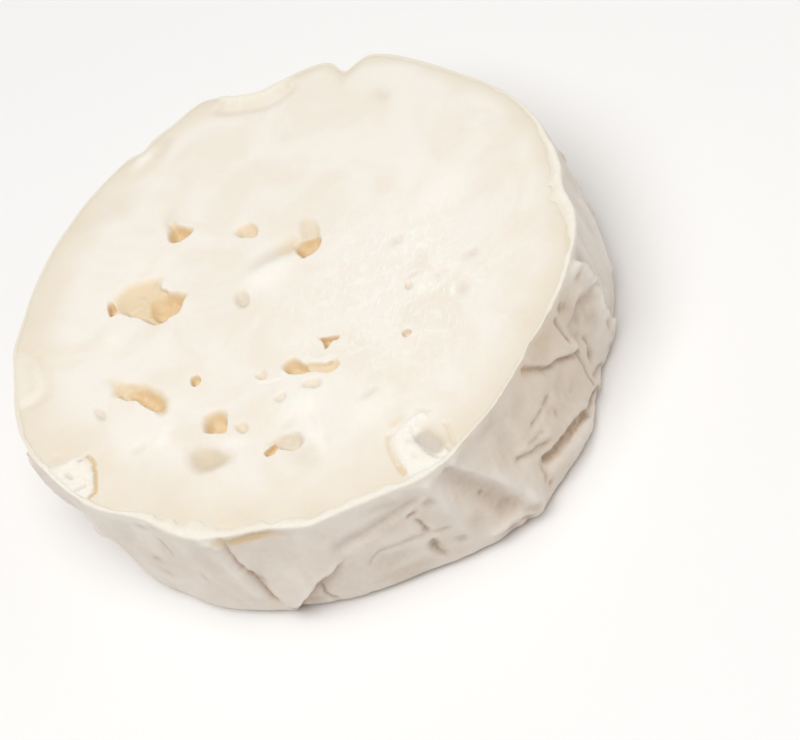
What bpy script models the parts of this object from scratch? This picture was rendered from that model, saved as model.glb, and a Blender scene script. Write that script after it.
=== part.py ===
"""Brie wheel: a small round of soft white-rinded cheese, cut level so that its paste shows.

The wheel lies flat on its rind with the cut face up. The frame is in metres, +Z up, with the
origin under the middle of the wheel's bounding box, on the surface that it rests on.
Shapes are worked out in millimetres about the face's centre. Angles count in degrees from +X,
anticlockwise as seen from above.
"""

import math
import random
from dataclasses import dataclass
from enum import Enum

import bmesh
import bpy
import numpy as np

# Driving dimensions
MM = 0.001
FACE_RADIUS = 55.0
THICKNESS = 24.0
FOOT_RADIUS = 55.5
FOOT_ROUNDING = 2.6
RIM_ROUNDING = 0.6
BELLY = 0.5
LAP_STEP = 1.8
FACE_CENTRE = (0.05, 0.25)

# Resolution of the turned body
TURN_STEPS = 180
FRONT_CROWDING = 0.28
FRONT_ANGLE = 270.0
FACE_RINGS = (40.0, 43.0, 46.0, 48.5, 50.6, 52.3, 53.6)
WALL_ROWS = (22.9, 21.4, 19.8, 18.2, 16.6, 15.0, 13.4, 11.8, 10.2, 8.6, 7.0, 5.4, 4.0)
FOOT_ROUNDING_STEPS = 3
BASE_RING = 44.0
MERGE_DISTANCE = 0.00005

# Uneven outline: how far the rim and the foot stand out, as (angle, spread, millimetres)
RIM_SWELLS = (
    (10, 12, 0.8), (47, 6, 1.5), (55, 3.5, -1.7), (65, 3, 0.9), (73, 5, -2.4), (86, 5, 2.0),
    (102, 3.5, -1.1), (135, 15, -0.4), (156, 3, 0.6), (182, 10, 1.2), (216, 6, -1.9),
    (242, 4, -0.8), (253, 3.5, 0.5), (275, 6, 2.1), (307, 9, -1.9), (334, 4, 0.4), (345, 4, -0.9),
)
FOOT_SWELLS = (
    (193, 9, -3.9), (216, 5.4, -1.0), (286, 11, 4.9), (305, 8, 1.5),
    (20, 14, 0.9), (62, 9, -1.1), (95, 12, 1.2), (140, 14, -0.8), (170, 9, 0.8),
)

# Rind tucked into the cut face and lumps on the rim: (x, y, half length, half width, turn, height)
FACE_RELIEF = (
    (5.0, -50.5, 5.5, 3.6, 80, 0.7),
    (8.6, -49.8, 4.2, 1.5, 102, -1.5),
    (1.9, -47.5, 4.5, 1.0, 95, -0.7),
    (-49.8, -14.8, 5.5, 2.6, 108, 0.5),
    (-46.9, -15.5, 4.6, 1.0, 105, -0.8),
    (-51.3, 13.5, 7.5, 3.4, 90, 0.4),
    (-46.6, 13.0, 6.5, 1.2, 97, -0.4),
    (14.0, 51.3, 9.5, 1.8, -14, 1.0),
    (13.5, 47.2, 8.5, 1.3, -16, -0.6),
    (-9.0, 51.3, 3.5, 1.4, -35, -0.6),
    (52.6, -9.0, 2.0, 1.2, 80, 0.6),
    (47.4, -27.8, 3.0, 1.4, 62, 0.7),
    (-44.5, -31.5, 9.0, 1.5, -52, 0.4),
)

PASTE_COLOUR = (0.93, 0.86, 0.74, 1.0)
PASTE_ROUGHNESS = 0.5


class FoldKind(Enum):
    """How the rind folds along a line on the wall."""

    CREASE = "a sharp valley"
    RIDGE = "a sharp raised line"
    LAP = "one side lies over the other"


@dataclass(frozen=True)
class Fold:
    """A fold of the rind along a path of (angle, height) points, its sizes in millimetres."""

    kind: FoldKind
    spread: float
    size: float
    path: tuple


@dataclass(frozen=True)
class Hole:
    """A hole in the paste: its outline on the cut face and its depth, in millimetres."""

    name: str
    depth: float
    outline: tuple
    floor_share: float = 0.55


# The folds that show on the front of the wall
FRONT_FOLDS = (
    Fold(FoldKind.CREASE, 3.2, 1.8, ((234, 24.5), (235, 19), (235.4, 13), (236, 9), (237.5, 5))),
    Fold(FoldKind.LAP, 5.5, 1.2, ((254, 13.8), (247, 9.5), (240, 2.5))),
    Fold(FoldKind.CREASE, 4.0, 0.9, ((253, 20.2), (260, 19.2), (272, 19.6))),
    Fold(FoldKind.CREASE, 3.0, 0.9, ((269.8, 17), (269.6, 10), (270, 3.5))),
    Fold(FoldKind.RIDGE, 4.4, 1.3, ((278, 24.5), (281, 19), (284.5, 12), (288, 4), (290, 0))),
    Fold(FoldKind.CREASE, 5.0, 1.8, ((276.5, 21.5), (279, 16), (280.8, 10.5), (283, 4.5))),
    Fold(FoldKind.CREASE, 3.4, 1.3, ((300, 24.5), (303, 22), (306, 19), (310, 16), (313.3, 14))),
    Fold(FoldKind.CREASE, 3.0, 1.0, ((313.3, 14), (313.6, 9), (313.7, 4))),
    Fold(FoldKind.CREASE, 3.2, 0.9, ((291, 10), (296, 8.5), (299, 6.5))),
    Fold(FoldKind.CREASE, 3.4, 2.6, ((294.5, 4.8), (300, 4.1), (306, 3.2), (312, 2.2))),
    Fold(FoldKind.RIDGE, 4.2, 1.5, ((327.5, 24.5), (330.5, 19), (330, 12), (329, 8), (331, 3))),
    Fold(FoldKind.CREASE, 4.0, 1.1, ((316, 20), (321, 19), (326, 16), (329, 13.5))),
    Fold(FoldKind.CREASE, 3.2, 0.9, ((314.5, 24.5), (316.5, 22), (318, 19))),
    Fold(FoldKind.CREASE, 3.4, 0.7, ((215, 11), (218, 16), (221, 20.5))),
)

# The holes in the paste. Their outlines run anticlockwise.
HOLES = (
    Hole("upper_triangle", 3.2, (
        (-15.6, 27.2), (-14.6, 26.0), (-12.8, 25.5), (-10.6, 25.9), (-9.8, 26.8),
        (-11.4, 28.8), (-12.2, 31.4), (-13.2, 33.0), (-14.6, 31.0))),
    Hole("big_cave_shelf", 1.5, (
        (-31.8, 17.2), (-28.5, 15.2), (-26.6, 12.2), (-24.6, 9.3), (-21.4, 9.0), (-18.6, 9.9),
        (-16.2, 12.1), (-20.4, 16.9), (-18.7, 19.8), (-21.0, 21.8), (-25.6, 23.4),
        (-30.2, 22.2)), 0.8),
    Hole("big_cave_floor", 3.7, (
        (-25.4, 11.6), (-22.0, 10.5), (-19.2, 10.2), (-17.0, 12.1), (-20.6, 16.2),
        (-24.0, 17.0))),
    Hole("big_cave_nook", 3.0, (
        (-31.6, 17.6), (-30.2, 17.8), (-29.5, 20.2), (-30.4, 21.8), (-31.3, 20.6))),
    Hole("long_cave_shelf", 1.3, (
        (-38.6, 3.4), (-37.8, -0.6), (-35.2, -4.2), (-33.6, -6.4), (-32.2, -11.6),
        (-30.6, -12.5), (-28.9, -11.4), (-28.0, -8.8), (-30.2, -3.4), (-33.8, 0.2),
        (-35.8, 4.2)), 0.75),
    Hole("long_cave_floor", 3.2, (
        (-34.0, -3.4), (-33.0, -7.4), (-31.6, -9.8), (-29.6, -9.9), (-30.0, -6.4),
        (-32.0, -3.4))),
    Hole("five_sided_hole", 3.4, (
        (-26.0, -20.6), (-22.5, -23.3), (-20.5, -19.4), (-20.9, -17.8), (-23.0, -16.8),
        (-25.4, -17.6))),
    Hole("soft_dent", 1.0, (
        (-30.8, -26.6), (-28.4, -29.4), (-24.0, -30.2), (-24.8, -27.0), (-27.6, -23.6),
        (-29.8, -22.8)), 0.4),
    Hole("right_cave", 3.3, (
        (4.4, 8.8), (4.9, 4.8), (7.6, 4.8), (9.6, 6.2), (10.1, 8.2), (7.4, 9.4))),
    Hole("right_cave_crescent", 1.0, (
        (8.2, 9.2), (10.2, 8.2), (11.2, 10.4), (10.8, 12.8), (8.6, 14.6), (8.0, 13.6),
        (8.8, 11.2)), 0.6),
    Hole("slanted_cave", 2.3, (
        (-8.1, -17.2), (-5.8, -20.0), (-3.2, -21.2), (-2.2, -19.6), (-4.6, -17.4),
        (-5.0, -15.8), (-7.4, -15.6))),
    Hole("slanted_cave_lobe", 1.0, (
        (-3.6, -21.2), (-0.8, -23.8), (1.5, -23.4), (1.8, -21.4), (-0.8, -20.4),
        (-2.6, -19.4)), 0.7),
    Hole("split", 2.2, (
        (-0.1, -14.4), (0.6, -16.4), (0.5, -18.3), (1.6, -17.4), (4.0, -17.2), (2.2, -16.0)), 0.5),
    Hole("upper_oval", 0.9, (
        (-3.8, 19.6), (-1.6, 17.4), (-0.2, 16.5), (0.7, 18.8), (-0.6, 20.3), (-2.4, 20.7)), 0.5),
    Hole("middle_dent", 0.7, (
        (-9.7, 4.4), (-9.2, 2.0), (-8.0, 1.7), (-7.1, 4.0), (-7.7, 5.8), (-9.2, 5.9)), 0.5),
    Hole("small_pit", 1.6, (
        (-24.0, -8.6), (-23.2, -9.7), (-22.3, -9.2), (-22.0, -7.9), (-23.0, -7.2))),
    Hole("lower_dent", 0.8, (
        (-20.8, -23.4), (-19.6, -25.8), (-18.3, -25.2), (-18.4, -23.8), (-19.6, -22.8))),
    Hole("pale_dent", 0.7, (
        (-7.0, -22.7), (-5.4, -24.4), (-4.4, -25.4), (-2.9, -25.0), (-2.8, -23.6),
        (-5.0, -22.2))),
    Hole("lower_slit", 2.2, (
        (-17.8, -33.3), (-16.4, -33.6), (-15.4, -32.6), (-15.6, -31.9), (-17.6, -32.2))),
    Hole("lower_slit_valley", 0.8, (
        (-16.6, -32.8), (-13.6, -34.7), (-11.4, -34.4), (-11.8, -32.6), (-14.4, -31.2),
        (-16.4, -31.4)), 0.5),
    Hole("round_pit", 1.2, (
        (13.5, -25.0), (14.2, -25.9), (15.2, -25.6), (15.4, -24.6), (14.6, -24.0),
        (13.8, -24.2))),
)

# Rule for the folds on the side that can't be seen
BACK_SEED = 12
BACK_FOLD_COUNT = 24
BACK_FOLD_ANGLES = (343.0, 565.0)


def turn_between(angle, centre):
    """The signed angle in degrees from centre to angle, from -180 to 180."""
    return (angle - centre + 180.0) % 360.0 - 180.0


def swell(angle, swells):
    """How far the outline stands out at an angle, in millimetres."""
    total = 0.0
    for centre, spread, size in swells:
        total += size * math.exp(-0.5 * (turn_between(angle, centre) / spread) ** 2)
    return total


def smooth_step(low, high, value):
    """A soft rise from 0 at low to 1 at high."""
    share = min(1.0, max(0.0, (value - low) / (high - low)))
    return share * share * (3.0 - 2.0 * share)


def back_folds():
    """Slanted creases and ridges for the back of the wall, as uneven as those in front."""
    draw = random.Random(BACK_SEED)
    low, high = BACK_FOLD_ANGLES
    folds = []
    for number in range(BACK_FOLD_COUNT):
        angle = low + (number + draw.uniform(0.1, 0.9)) * (high - low) / BACK_FOLD_COUNT
        height = draw.uniform(15.0, 24.5)
        drop = draw.uniform(7.0, 16.0)
        lean = draw.uniform(-9.0, 9.0)
        middle = (angle + lean * draw.uniform(0.2, 0.8), height - 0.5 * drop)
        path = ((angle, height), middle, (angle + lean, max(2.0, height - drop)))
        kind = draw.choice((FoldKind.CREASE, FoldKind.CREASE, FoldKind.RIDGE, FoldKind.LAP))
        folds.append(Fold(kind, draw.uniform(3.6, 5.4), draw.uniform(0.7, 1.5), path))
    return tuple(folds)


def nearest_on_path(angle, height, path):
    """Distance in millimetres from a point of the wall to a path, and which side it lies on."""
    best, side = 1e9, 1.0
    around = FACE_RADIUS * math.pi / 180.0
    for (first_angle, first_height), (last_angle, last_height) in zip(path, path[1:]):
        start = np.array((turn_between(first_angle, angle) * around, first_height - height))
        step = np.array(((last_angle - first_angle) * around, last_height - first_height))
        share = min(1.0, max(0.0, float(-(start @ step) / (step @ step))))
        offset = start + share * step
        distance = float(np.hypot(*offset))
        if distance < best:
            best = distance
            side = 1.0 if step[0] * offset[1] - step[1] * offset[0] > 0.0 else -1.0
    return best, side


def fold_height(angle, height, folds):
    """How far all folds together push the wall out, in millimetres."""
    total = 0.0
    for fold in folds:
        distance, side = nearest_on_path(angle, height, fold.path)
        if distance >= fold.spread:
            continue
        share = (1.0 - (distance / fold.spread) ** 2) ** 2
        if fold.kind is FoldKind.CREASE:
            total -= fold.size * share
        elif fold.kind is FoldKind.RIDGE:
            total += fold.size * share
        else:
            total += fold.size * share * side * min(1.0, distance / LAP_STEP)
    return total


def wall_offset(angle, height, folds):
    """How far the wall stands out from the plain turned shape, in millimetres."""
    share = smooth_step(0.0, THICKNESS, height)
    foot = FOOT_RADIUS - FACE_RADIUS + swell(angle, FOOT_SWELLS)
    rim = swell(angle, RIM_SWELLS)
    belly = BELLY * math.sin(math.pi * height / THICKNESS)
    fade = smooth_step(0.0, FOOT_ROUNDING, height)
    return foot + (rim - foot) * share + belly + fold_height(angle, height, folds) * fade


def face_relief(x, y):
    """Height of the tucked rind and the lumps near the rim, in millimetres."""
    total = 0.0
    for centre_x, centre_y, length, width, turn, height in FACE_RELIEF:
        tilt = math.radians(turn)
        along = (x - centre_x) * math.cos(tilt) + (y - centre_y) * math.sin(tilt)
        across = (y - centre_y) * math.cos(tilt) - (x - centre_x) * math.sin(tilt)
        total += height * math.exp(-((along / length) ** 2) - (across / width) ** 2)
    return total


def profile_points():
    """The turned profile, from the face's inner ring out, down the wall and in to the base."""
    points = [(radius, THICKNESS) for radius in FACE_RINGS]
    points.append((FACE_RADIUS - RIM_ROUNDING, THICKNESS))
    points.append((FACE_RADIUS, THICKNESS - RIM_ROUNDING))
    points += [(FACE_RADIUS, height) for height in WALL_ROWS]
    for step in range(FOOT_ROUNDING_STEPS + 1):
        turn = 0.5 * math.pi * step / FOOT_ROUNDING_STEPS
        reach = FACE_RADIUS - FOOT_ROUNDING * (1.0 - math.cos(turn))
        points.append((reach, FOOT_ROUNDING * (1.0 - math.sin(turn))))
    points.append((BASE_RING, 0.0))
    return points


def turned_body(name):
    """The plain round, turned from its profile, with its face and base still open."""
    points = [(radius * MM, 0.0, height * MM) for radius, height in profile_points()]
    edges = [(number, number + 1) for number in range(len(points) - 1)]
    mesh = bpy.data.meshes.new(name)
    mesh.from_pydata(points, edges, [])
    body = bpy.data.objects.new(name, mesh)
    bpy.context.scene.collection.objects.link(body)
    screw = body.modifiers.new("turn", "SCREW")
    screw.axis = "Z"
    screw.angle = 2.0 * math.pi
    screw.steps = TURN_STEPS
    screw.render_steps = TURN_STEPS
    screw.use_merge_vertices = True
    screw.merge_threshold = MERGE_DISTANCE
    return body


def apply_modifiers(body):
    """Keeps the evaluated mesh of an object and clears its modifiers."""
    depsgraph = bpy.context.evaluated_depsgraph_get()
    finished = bpy.data.meshes.new_from_object(body.evaluated_get(depsgraph))
    plain = body.data
    body.modifiers.clear()
    body.data = finished
    bpy.data.meshes.remove(plain)
    finished.name = body.name


def shape_body(body):
    """Gives the plain round its uneven outline, folded wall and relief, then closes it."""
    folds = FRONT_FOLDS + back_folds()
    mesh = bmesh.new()
    mesh.from_mesh(body.data)
    for vertex in mesh.verts:
        radius = math.hypot(vertex.co.x, vertex.co.y) / MM
        height = vertex.co.z / MM
        turned = math.atan2(vertex.co.y, vertex.co.x)
        turned -= FRONT_CROWDING * math.sin(turned - math.radians(FRONT_ANGLE))
        angle = math.degrees(turned) % 360.0
        spread = smooth_step(FACE_RINGS[0], FACE_RADIUS - 2.0 * RIM_ROUNDING, radius)
        radius += wall_offset(angle, height, folds) * spread
        x, y = radius * math.cos(turned), radius * math.sin(turned)
        if height > THICKNESS - 2.0 * RIM_ROUNDING:
            height += face_relief(x, y) * spread
        vertex.co = ((x + FACE_CENTRE[0]) * MM, (y + FACE_CENTRE[1]) * MM, height * MM)
    open_edges = [edge for edge in mesh.edges if edge.is_boundary]
    bmesh.ops.holes_fill(mesh, edges=open_edges, sides=0)
    bmesh.ops.recalc_face_normals(mesh, faces=mesh.faces)
    mesh.to_mesh(body.data)
    mesh.free()


def hole_cutter(hole, collection):
    """A tapering plug with the hole's outline, which stands above the face and ends at its floor."""
    centre = np.mean(np.array(hole.outline), axis=0)
    mouth = THICKNESS + 2.5
    levels = (
        (THICKNESS - 0.45 * hole.depth, 0.93),
        (THICKNESS - 0.85 * hole.depth, 0.5 * (0.93 + hole.floor_share)),
        (THICKNESS - hole.depth, hole.floor_share),
    )
    mesh = bmesh.new()
    ring = []
    for x, y in hole.outline:
        place = ((x + FACE_CENTRE[0]) * MM, (y + FACE_CENTRE[1]) * MM, mouth * MM)
        ring.append(mesh.verts.new(place))
    lid = mesh.faces.new(ring)
    edges = list(lid.edges)
    pivot = ((centre[0] + FACE_CENTRE[0]) * MM, (centre[1] + FACE_CENTRE[1]) * MM)
    share_so_far, height_so_far = 1.0, mouth
    for height, share in levels:
        made = bmesh.ops.extrude_edge_only(mesh, edges=edges)["geom"]
        fresh = {item for item in made if isinstance(item, bmesh.types.BMVert)}
        edges = [
            item
            for item in made
            if isinstance(item, bmesh.types.BMEdge) and fresh.issuperset(item.verts)
        ]
        for vertex in fresh:
            vertex.co.x = pivot[0] + (vertex.co.x - pivot[0]) * share / share_so_far
            vertex.co.y = pivot[1] + (vertex.co.y - pivot[1]) * share / share_so_far
            vertex.co.z += (height - height_so_far) * MM
        share_so_far, height_so_far = share, height
    bmesh.ops.contextual_create(mesh, geom=edges)
    bmesh.ops.recalc_face_normals(mesh, faces=mesh.faces)
    data = bpy.data.meshes.new(hole.name + "_cutter")
    mesh.to_mesh(data)
    mesh.free()
    cutter = bpy.data.objects.new(hole.name + "_cutter", data)
    cutter.hide_render = True
    cutter.display_type = "WIRE"
    collection.objects.link(cutter)
    return cutter


def cut_holes(body, collection):
    """Cuts every hole in the paste."""
    for hole in HOLES:
        cut = body.modifiers.new(hole.name, "BOOLEAN")
        cut.operation = "DIFFERENCE"
        cut.object = hole_cutter(hole, collection)


def paste_material():
    """The pale, slightly moist paste."""
    material = bpy.data.materials.new("cheese")
    material.use_nodes = True
    shader = material.node_tree.nodes["Principled BSDF"]
    shader.inputs["Base Color"].default_value = PASTE_COLOUR
    shader.inputs["Roughness"].default_value = PASTE_ROUGHNESS
    shader.inputs["Metallic"].default_value = 0.0
    return material


def new_collection(name):
    """A collection in the scene."""
    collection = bpy.data.collections.new(name)
    bpy.context.scene.collection.children.link(collection)
    return collection


def build():
    """Makes the whole wheel."""
    for item in list(bpy.data.objects):
        bpy.data.objects.remove(item, do_unlink=True)
    parts = new_collection("Brie wheel")
    cutters = new_collection("Brie wheel cutters")
    body = turned_body("brie_wheel")
    apply_modifiers(body)
    shape_body(body)
    cut_holes(body, cutters)
    body.data.materials.clear()
    body.data.materials.append(paste_material())
    bpy.context.scene.collection.objects.unlink(body)
    parts.objects.link(body)


build()
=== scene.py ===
"""Looks of the brie wheel: a small soft white-rinded cheese, cut level so that its paste shows.

Two closed pieces stand for the CAD solid. The paste carries the cut face with its holes, dents
and tucked rind. The rind is the wrinkled skin of the wall, with the lip round the face and the
base. Sizes are in millimetres about the face's centre, and angles in degrees from +X,
anticlockwise as seen from above; 270 faces the camera.
"""

import logging
import math
import random
from dataclasses import dataclass
from enum import Enum

import bmesh
import bpy
import numpy as np
from mathutils import Matrix, Vector, noise


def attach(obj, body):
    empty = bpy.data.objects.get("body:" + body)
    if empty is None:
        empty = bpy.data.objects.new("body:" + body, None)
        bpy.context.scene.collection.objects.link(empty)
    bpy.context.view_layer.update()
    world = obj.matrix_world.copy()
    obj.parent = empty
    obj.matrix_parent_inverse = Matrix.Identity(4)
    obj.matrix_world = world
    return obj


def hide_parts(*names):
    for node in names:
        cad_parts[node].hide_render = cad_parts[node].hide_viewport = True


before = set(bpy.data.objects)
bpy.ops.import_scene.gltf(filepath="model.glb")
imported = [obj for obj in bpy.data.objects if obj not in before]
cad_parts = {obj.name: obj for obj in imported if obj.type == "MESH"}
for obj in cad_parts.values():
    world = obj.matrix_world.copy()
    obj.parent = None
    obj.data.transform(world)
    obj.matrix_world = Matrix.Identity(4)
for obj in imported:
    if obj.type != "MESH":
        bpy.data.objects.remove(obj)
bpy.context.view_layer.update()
LOG = logging.getLogger("brie_wheel")

MM = 0.001
NODE = "brie_wheel"
BODY = "root"
FACE_CENTRE = (0.05, 0.25)
THICKNESS = 24.0
RIM_RADIUS = 55.0
FOOT_RADIUS = 55.5
FOOT_ROUNDING = 2.6
BELLY = 0.5
MM_PER_DEGREE = RIM_RADIUS * math.pi / 180.0

Path = tuple[tuple[float, float], ...]
Swells = tuple[tuple[float, float, float], ...]
Layers = tuple[tuple[float, float, float], ...]
Rows = tuple[tuple[float, ...], ...]
Colour = tuple[float, float, float, float]

# How far the rim and the foot stand out from a circle: (angle, spread, millimetres)
RIM_SWELLS: Swells = (
    (10, 8.0, 0.8), (50, 8.2, 1.7), (55, 2.0, -3.7), (64, 2.8, 0.2), (75, 6.2, -2.4),
    (86, 4.3, 2.1), (102, 1.5, -1.0), (138, 14.1, -0.3), (156, 3.4, 0.7), (178, 8.8, 1.2),
    (216, 5.1, -1.9), (242, 4.4, -0.9), (252, 2.4, 0.6), (276, 5.5, 2.0), (307, 8.4, -1.9),
    (336, 5.7, 0.5), (346, 3.4, -1.0),
)
FOOT_SWELLS: Swells = (
    (193, 9, -3.9), (216, 5.4, -1.0), (286, 11, 4.9), (305, 8, 1.5),
    (20, 14, 0.9), (62, 9, -1.1), (95, 12, 1.2), (140, 14, -0.8), (170, 9, 0.8),
)
# The rind's lip as seen from above: (angle, width), and how far it stands up: (angle, height)
LIP_WIDTHS: Path = (
    (0, 1.2), (8, 0.7), (20, 0.5), (150, 0.5), (165, 0.7), (190, 0.7), (200, 0.9), (212, 0.9),
    (217, 1.3), (222, 2.1), (227, 2.6), (231, 2.6), (234, 1.7), (243, 1.7), (247, 1.9),
    (262, 1.6), (270, 1.5), (276, 1.0), (283, 0.6), (290, 0.4), (312, 0.45), (318, 0.9),
    (324, 1.2), (331, 1.0), (336, 1.6), (341, 2.4), (346, 2.6), (351, 2.2), (355, 1.5),
)
LIP_HEIGHTS: Path = (
    (0, 0.2), (20, 0.05), (150, 0.05), (180, 0.15), (206, 0.3), (232, 0.35), (235.5, 0.2),
    (242, 0.15), (246, 0.2), (262, 0.3), (275, 0.6), (284, 0.1), (312, 0.05), (322, 0.4),
    (328, 0.7), (332, 0.2), (345, 0.3),
)
# How far the lip's white runs down the wall, past its usual band: (angle, millimetres)
LIP_FALLS: Path = (
    (0, 0.0), (196, 0.0), (203, 0.5), (208, 1.2), (215, 1.5), (219, 0.9), (223, 0.2), (229, 0.0),
    (269, 0.0), (273, 0.9), (276, 1.9), (280, 1.0), (284, 0.1), (322, 0.2), (336, 0.5), (350, 0.2),
)
# How white the lip is, from 0 where the paste's cream runs to the very edge: (angle, share)
LIP_BLOOM: Path = (
    (0, 0.8), (12, 0.3), (24, 0.0), (174, 0.0), (186, 0.3), (198, 0.7), (206, 0.85), (222, 0.8),
    (229, 1.0), (233, 1.0), (236, 0.5), (242, 0.6), (246, 0.9), (268, 0.85), (281, 0.8),
    (285, 0.1), (298, 0.05), (306, 0.12), (316, 0.25), (321, 0.8), (355, 1.0),
)
# Where the tucked rind carries on over the lip: (angle, share)
LIP_CRUST: Path = (
    (184, 0.0), (188, 1.0), (200, 1.0), (203, 0.0), (271, 0.0), (273, 1.0), (281, 1.0), (283, 0.0),
)
# How far the paste's side and the rind's inner wall draw in below the face: (height, inset)
SIDE_PROFILE: Path = ((22.8, 0.25), (19.5, 2.4), (14.0, 4.0), (1.7, 4.0))
# Height at each angle of the row of the wall's mesh that runs along the open gap
GAP_LEVEL = 6.0
GAP_ROW: Path = ((284, 6.0), (290.5, 8.0), (293.6, 8.1), (301.7, 6.3), (308, 3.7), (316, 6.0))
# Rows across the top of the lip: (share of its width, how far down it lies)
LIP_TOP: Path = ((0.3, 0.0), (0.6, 0.05), (0.85, 0.14), (1.0, 0.26))
# The narrowest that the torn lip gets
LEAST_LIP = 0.3

# Smooth unevenness, in layers of (size in millimetres, seed, strength)
LIP_TEAR: Layers = ((2.6, 3.1, 0.525), (1.0, 9.7, 0.15))
LIP_RISE: Layers = ((2.6, 5.3, 0.14), (0.9, 1.9, 0.07))
LIP_FRAY: Layers = ((1.6, 113.0, 0.35), (0.6, 117.0, 0.2))
FACE_GRAIN: Layers = ((13.0, 2.0, 0.10), (3.4, 7.0, 0.035), (0.9, 13.0, 0.012))
FACE_CLOUDS: Layers = ((8.0, 61.0, 1.0),)
CAVE_CRUMB: Layers = ((1.1, 41.0, 0.16),)
CRUST_GRAIN: Layers = ((1.7, 51.0, 1.0), (0.7, 57.0, 0.6))
WALL_GRAIN: Layers = ((15.0, 87.0, 0.35), (1.2, 103.0, 0.03))
# Sideways and lengthways drift of whatever is pressed into the face or the wall
FACE_WANDER = (((1.5, 11.0, 0.13), (0.6, 17.0, 0.065)), ((1.5, 23.0, 0.13), (0.6, 29.0, 0.065)))
WALL_WANDER = (((4.2, 71.0, 0.45), (1.3, 73.0, 0.16)), ((4.2, 79.0, 0.45), (1.3, 83.0, 0.16)))
# How strongly the drift acts on lumps, grooves, tucked rind and the open gap
LUMP_WANDER = 2.0
GROOVE_WANDER = 1.5
PATCH_WANDER = 1.8
SPLIT_WANDER = 0.35
# How far past its outline a hole or a tucked rind can reach
MARGIN = 1.0
# The wrinkles all over the rind: (size, seed, level, sharpness, strength, more of it in front)
WRINKLES: Rows = (
    (7.5, 91.0, 0.5, 1.6, 0.28, 0.28),
    (3.1, 97.0, 0.4, 1.5, 0.14, 0.26),
    (1.8, 101.0, 0.35, 1.5, 0.03, 0.09),
)
WRINKLE_LEAN = 0.55
WRINKLED_ANGLE = 308.0
WRINKLED_SPREAD = 26.0


def smooth_step(low: float, high: float, values: np.ndarray) -> np.ndarray:
    """A soft rise from 0 at low to 1 at high."""
    share = np.clip((values - low) / (high - low), 0.0, 1.0)
    return share * share * (3.0 - 2.0 * share)


def turn_between(angles: np.ndarray, centre: float) -> np.ndarray:
    """The signed turn in degrees from centre to each angle, from -180 to 180."""
    return (angles - centre + 180.0) % 360.0 - 180.0


def swell(angles: np.ndarray, swells: Swells) -> np.ndarray:
    """How far an outline stands out at each angle, in millimetres."""
    total = np.zeros_like(angles, dtype=float)
    for centre, spread, size in swells:
        total += size * np.exp(-0.5 * (turn_between(angles, centre) / spread) ** 2)
    return total


def grain(points: np.ndarray, size: float, seed: float) -> np.ndarray:
    """Smooth uneven values.

    Args:
        points: places in millimetres, one row of three each.
        size: how far apart the lumps are, in millimetres.
        seed: a shift that gives another pattern.

    Returns:
        One value from about -1 to 1 for each place.
    """
    places = points / size + seed
    return np.array([noise.noise(place) for place in places.tolist()])


def layered(points: np.ndarray, layers: Layers) -> np.ndarray:
    """The sum of several grains."""
    return sum(strength * grain(points, size, seed) for size, seed, strength in layers)


def flat_points(points: np.ndarray) -> np.ndarray:
    """Places on the face as rows of three, for grain."""
    return np.column_stack((points, np.zeros(len(points))))


def rounded(outline: Path) -> np.ndarray:
    """A closed outline with its corners cut off twice, which makes it smooth."""
    corners = np.array(outline, dtype=float)
    for _ in range(2):
        following = np.roll(corners, -1, axis=0)
        pairs = np.stack((0.8 * corners + 0.2 * following, 0.2 * corners + 0.8 * following), 1)
        corners = pairs.reshape(-1, 2)
    return corners


@dataclass(frozen=True)
class Reach:
    """How places lie to a path: distance, side (1 on its left) and distance to its near end."""

    distance: np.ndarray
    side: np.ndarray
    from_end: np.ndarray


def reach_of(points: np.ndarray, corners: np.ndarray) -> Reach:
    """Measures places against a path.

    Args:
        points: places, one row of two each.
        corners: the path's corners in order.

    Returns:
        The distances, sides and distances along the path to its nearer end.
    """
    best = np.full(len(points), np.inf)
    side = np.ones(len(points))
    along = np.zeros(len(points))
    walked = 0.0
    for start, stop in zip(corners, corners[1:]):
        step = stop - start
        length = float(np.hypot(*step))
        offset = points - start
        share = np.clip(offset @ step / length**2, 0.0, 1.0)
        gap = offset - share[:, None] * step
        distance = np.hypot(gap[:, 0], gap[:, 1])
        closer = distance < best
        best[closer] = distance[closer]
        turned = np.where(step[0] * gap[:, 1] - step[1] * gap[:, 0] >= 0.0, 1.0, -1.0)
        side[closer] = turned[closer]
        along[closer] = (walked + share * length)[closer]
        walked += length
    return Reach(best, side, np.minimum(along, walked - along))


def depth_inside(points: np.ndarray, corners: np.ndarray) -> np.ndarray:
    """How deep places lie inside a closed outline, below 0 outside it."""
    closed = np.vstack((corners, corners[:1]))
    x, y = points[:, 0], points[:, 1]
    hit = np.zeros(len(points), dtype=bool)
    for (x1, y1), (x2, y2) in zip(closed, closed[1:]):
        crosses = (y1 > y) != (y2 > y)
        hit ^= crosses & (x < (x2 - x1) * (y - y1) / (y2 - y1 + 1e-12) + x1)
    return reach_of(points, closed).distance * np.where(hit, 1.0, -1.0)


def near_box(points: np.ndarray, corners: np.ndarray, margin: float) -> np.ndarray:
    """The numbers of the places inside a path's box, grown by a margin."""
    low = corners.min(0) - margin
    high = corners.max(0) + margin
    return np.flatnonzero(np.all((points > low) & (points < high), axis=1))


def rim_radius(angles: np.ndarray) -> np.ndarray:
    """The rim's radius in millimetres."""
    return RIM_RADIUS + swell(angles, RIM_SWELLS)


def around(angles: np.ndarray, table: Path) -> np.ndarray:
    """A value at each angle from a table of (angle, value), joined softly round the circle."""
    keys = np.array(table, dtype=float)
    spread = np.linspace(-1.5, 1.5, 7)
    joined = [np.interp(angles + turn, keys[:, 0], keys[:, 1], period=360.0) for turn in spread]
    return np.mean(joined, axis=0)


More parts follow.
